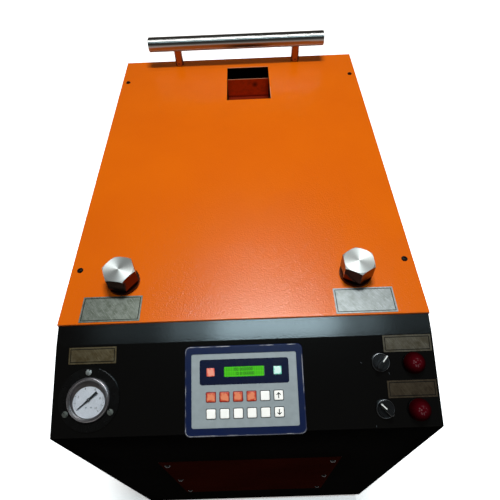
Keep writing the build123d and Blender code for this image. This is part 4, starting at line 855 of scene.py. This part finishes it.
OUTLET_X, GLAND_X, CONNECTION_Z = 180, -200, 420
THREAD_PITCH, THREAD_FOOT, THREAD_LENGTH = 2.3, 13.0, 17.1
CREST, ROOT, INSIDE = 15.55, 14.95, 14.0
steps = np.arange(0, THREAD_LENGTH, THREAD_PITCH / 2)
crest = np.where(np.arange(len(steps)) % 2 == 1, CREST, ROOT)
thread = [(INSIDE, THREAD_FOOT), *zip(crest, THREAD_FOOT + steps), (INSIDE, THREAD_FOOT + steps[-1])]
piece("outlet_thread", [seated(turned(thread, 48, closed=True), "rear", OUTLET_X, CONNECTION_Z)], OUTLET,
      sharp=20)
ribs = [seated(round_wire(9.9, 0.35, height, sides=36), "rear", GLAND_X, CONNECTION_Z)
        for height in (7.5, 9.5, 11.5)]
piece("gland_ribs", ribs, GLAND)


# Floor, light, camera

def studio_floor(name, seen_colour, seen_glow):
    """A pale matt studio floor that the camera, and mirrors and glass, see as white, with the
    object's shadow kept. Away from the object, where the lamps fall off, it glows more."""
    made, node = blank(name)
    path = node("LightPath").outputs
    direct = node("Math", {0: path["Is Camera Ray"], 1: path["Is Glossy Ray"]}, operation="MAXIMUM")
    seen = node("Math", {0: direct, 1: path["Is Transmission Ray"]}, operation="MAXIMUM")
    tone = node("Mix", {"Factor": seen, MIX_A: (0.8, 0.8, 0.8, 1), MIX_B: (*[seen_colour] * 3, 1)})
    matt = node("BsdfDiffuse", {"Color": tone})
    away = node("VectorMath", {0: node("TexCoord").outputs["Object"]}, operation="LENGTH")
    far = node("MapRange", {"Value": away, "From Min": 1.0, "From Max": 3.0, "To Min": seen_glow})
    strength = node("Math", {0: seen, 1: far}, operation="MULTIPLY")
    glow = node("Emission", {"Color": (1, 1, 1, 1), "Strength": strength})
    node("OutputMaterial", {"Surface": node("AddShader", {0: matt, 1: glow})})
    return made


FLOOR_REACH, FLOOR_Z = 30.0, -0.0005
mesh = bpy.data.meshes.new("studio_floor")
mesh.from_pydata([(x * FLOOR_REACH, y * FLOOR_REACH, FLOOR_Z) for x, y in ((-1, -1), (1, -1), (1, 1), (-1, 1))],
                 [], [(0, 1, 2, 3)])
floor = placed("studio_floor", mesh)
mesh.materials.append(studio_floor("painted_studio_floor", 2.6, 0.35))

# Walls that are warm and dim, and brighter low down
world = bpy.data.worlds.new("studio")
bpy.context.scene.world = world
world.use_nodes = True
world.node_tree.nodes.clear()
node = partial(add, world.node_tree)
direction = node("TexCoord").outputs["Generated"]
height = node("SeparateXYZ", {"Vector": direction}).outputs["Z"]
wall = node("MapRange", {"Value": height, "From Max": 0.35, "To Min": 0.45, "To Max": 0.05},
            interpolation_type="SMOOTHSTEP")
background = node("Background", {"Color": (1.0, 0.88, 0.78, 1), "Strength": wall})
node("OutputWorld", {"Surface": background})


def lamp(name, spot, aim, width, depth, watts, colour=(1, 1, 1)):
    """A rectangular soft lamp that faces a point, its width along X."""
    data = bpy.data.lights.new(name, "AREA")
    data.shape = "RECTANGLE"
    data.size = width
    data.size_y = depth
    data.energy = watts
    data.color = colour
    back = (Vector(spot) - Vector(aim)).normalized()
    along = Vector((1, 0, 0))
    along = (along - back * along.dot(back)).normalized()
    axes = Matrix((along, back.cross(along), back)).transposed()
    placed(name, data).matrix_world = Matrix.Translation(spot) @ axes.to_4x4()


lamp("ceiling_tube_lamp", (0.12, 0.2, 3.0), (0.0, 0.05, 0.9), 0.6, 0.2, 37, (0.98, 1.0, 1.0))
# The skylight fades out to its ends: three lamps of one light, each wider and weaker
for name, width, watts in (("front_skylight", 0.8, 6.6), ("front_skylight_wide", 1.4, 2.6),
                           ("front_skylight_widest", 2.4, 0.8)):
    lamp(name, (0.15, -0.7, 3.0), (0.15, -0.35, 0.9), width, 0.16, watts, (0.66, 0.9, 1.0))
lamp("rear_lamp", (0.08, 0.8, 3.0), (0.0, -0.2, 0.9), 0.35, 0.25, 5.0)


def spun(angle):
    """A turn in the plane of the first two axes."""
    c, s = math.cos(angle), math.sin(angle)
    return np.array([[c, -s, 0], [s, c, 0], [0, 0, 1]])


# The photograph's view: pitch down, roll and yaw of a camera in front of and above the console
PITCH, ROLL, YAW = (math.radians(a) for a in (53.2, -2.85, 0.92))
CAMERA_PLACE, LENS_MM, LENS_SHIFT = (0.0226, -0.6893, 1.5540), 30.79, 0.0016
forward = np.array([0, math.cos(PITCH), -math.sin(PITCH)])
right = np.array([1.0, 0, 0])
level = np.stack([right, np.cross(forward, right), forward])
axes = spun(ROLL) @ level @ spun(YAW).T
camera_data = bpy.data.cameras.new("camera")
camera_data.sensor_width = 36
camera_data.lens = LENS_MM
camera_data.shift_x = LENS_SHIFT
camera_data.clip_end = 100
camera = placed("camera", camera_data)
rotation = np.stack([axes[0], -axes[1], -axes[2]], axis=1)
camera.matrix_world = Matrix.Translation(CAMERA_PLACE) @ Matrix(rotation.tolist()).to_4x4()
bpy.context.scene.camera = camera

bpy.context.scene.view_settings.view_transform = "Standard"
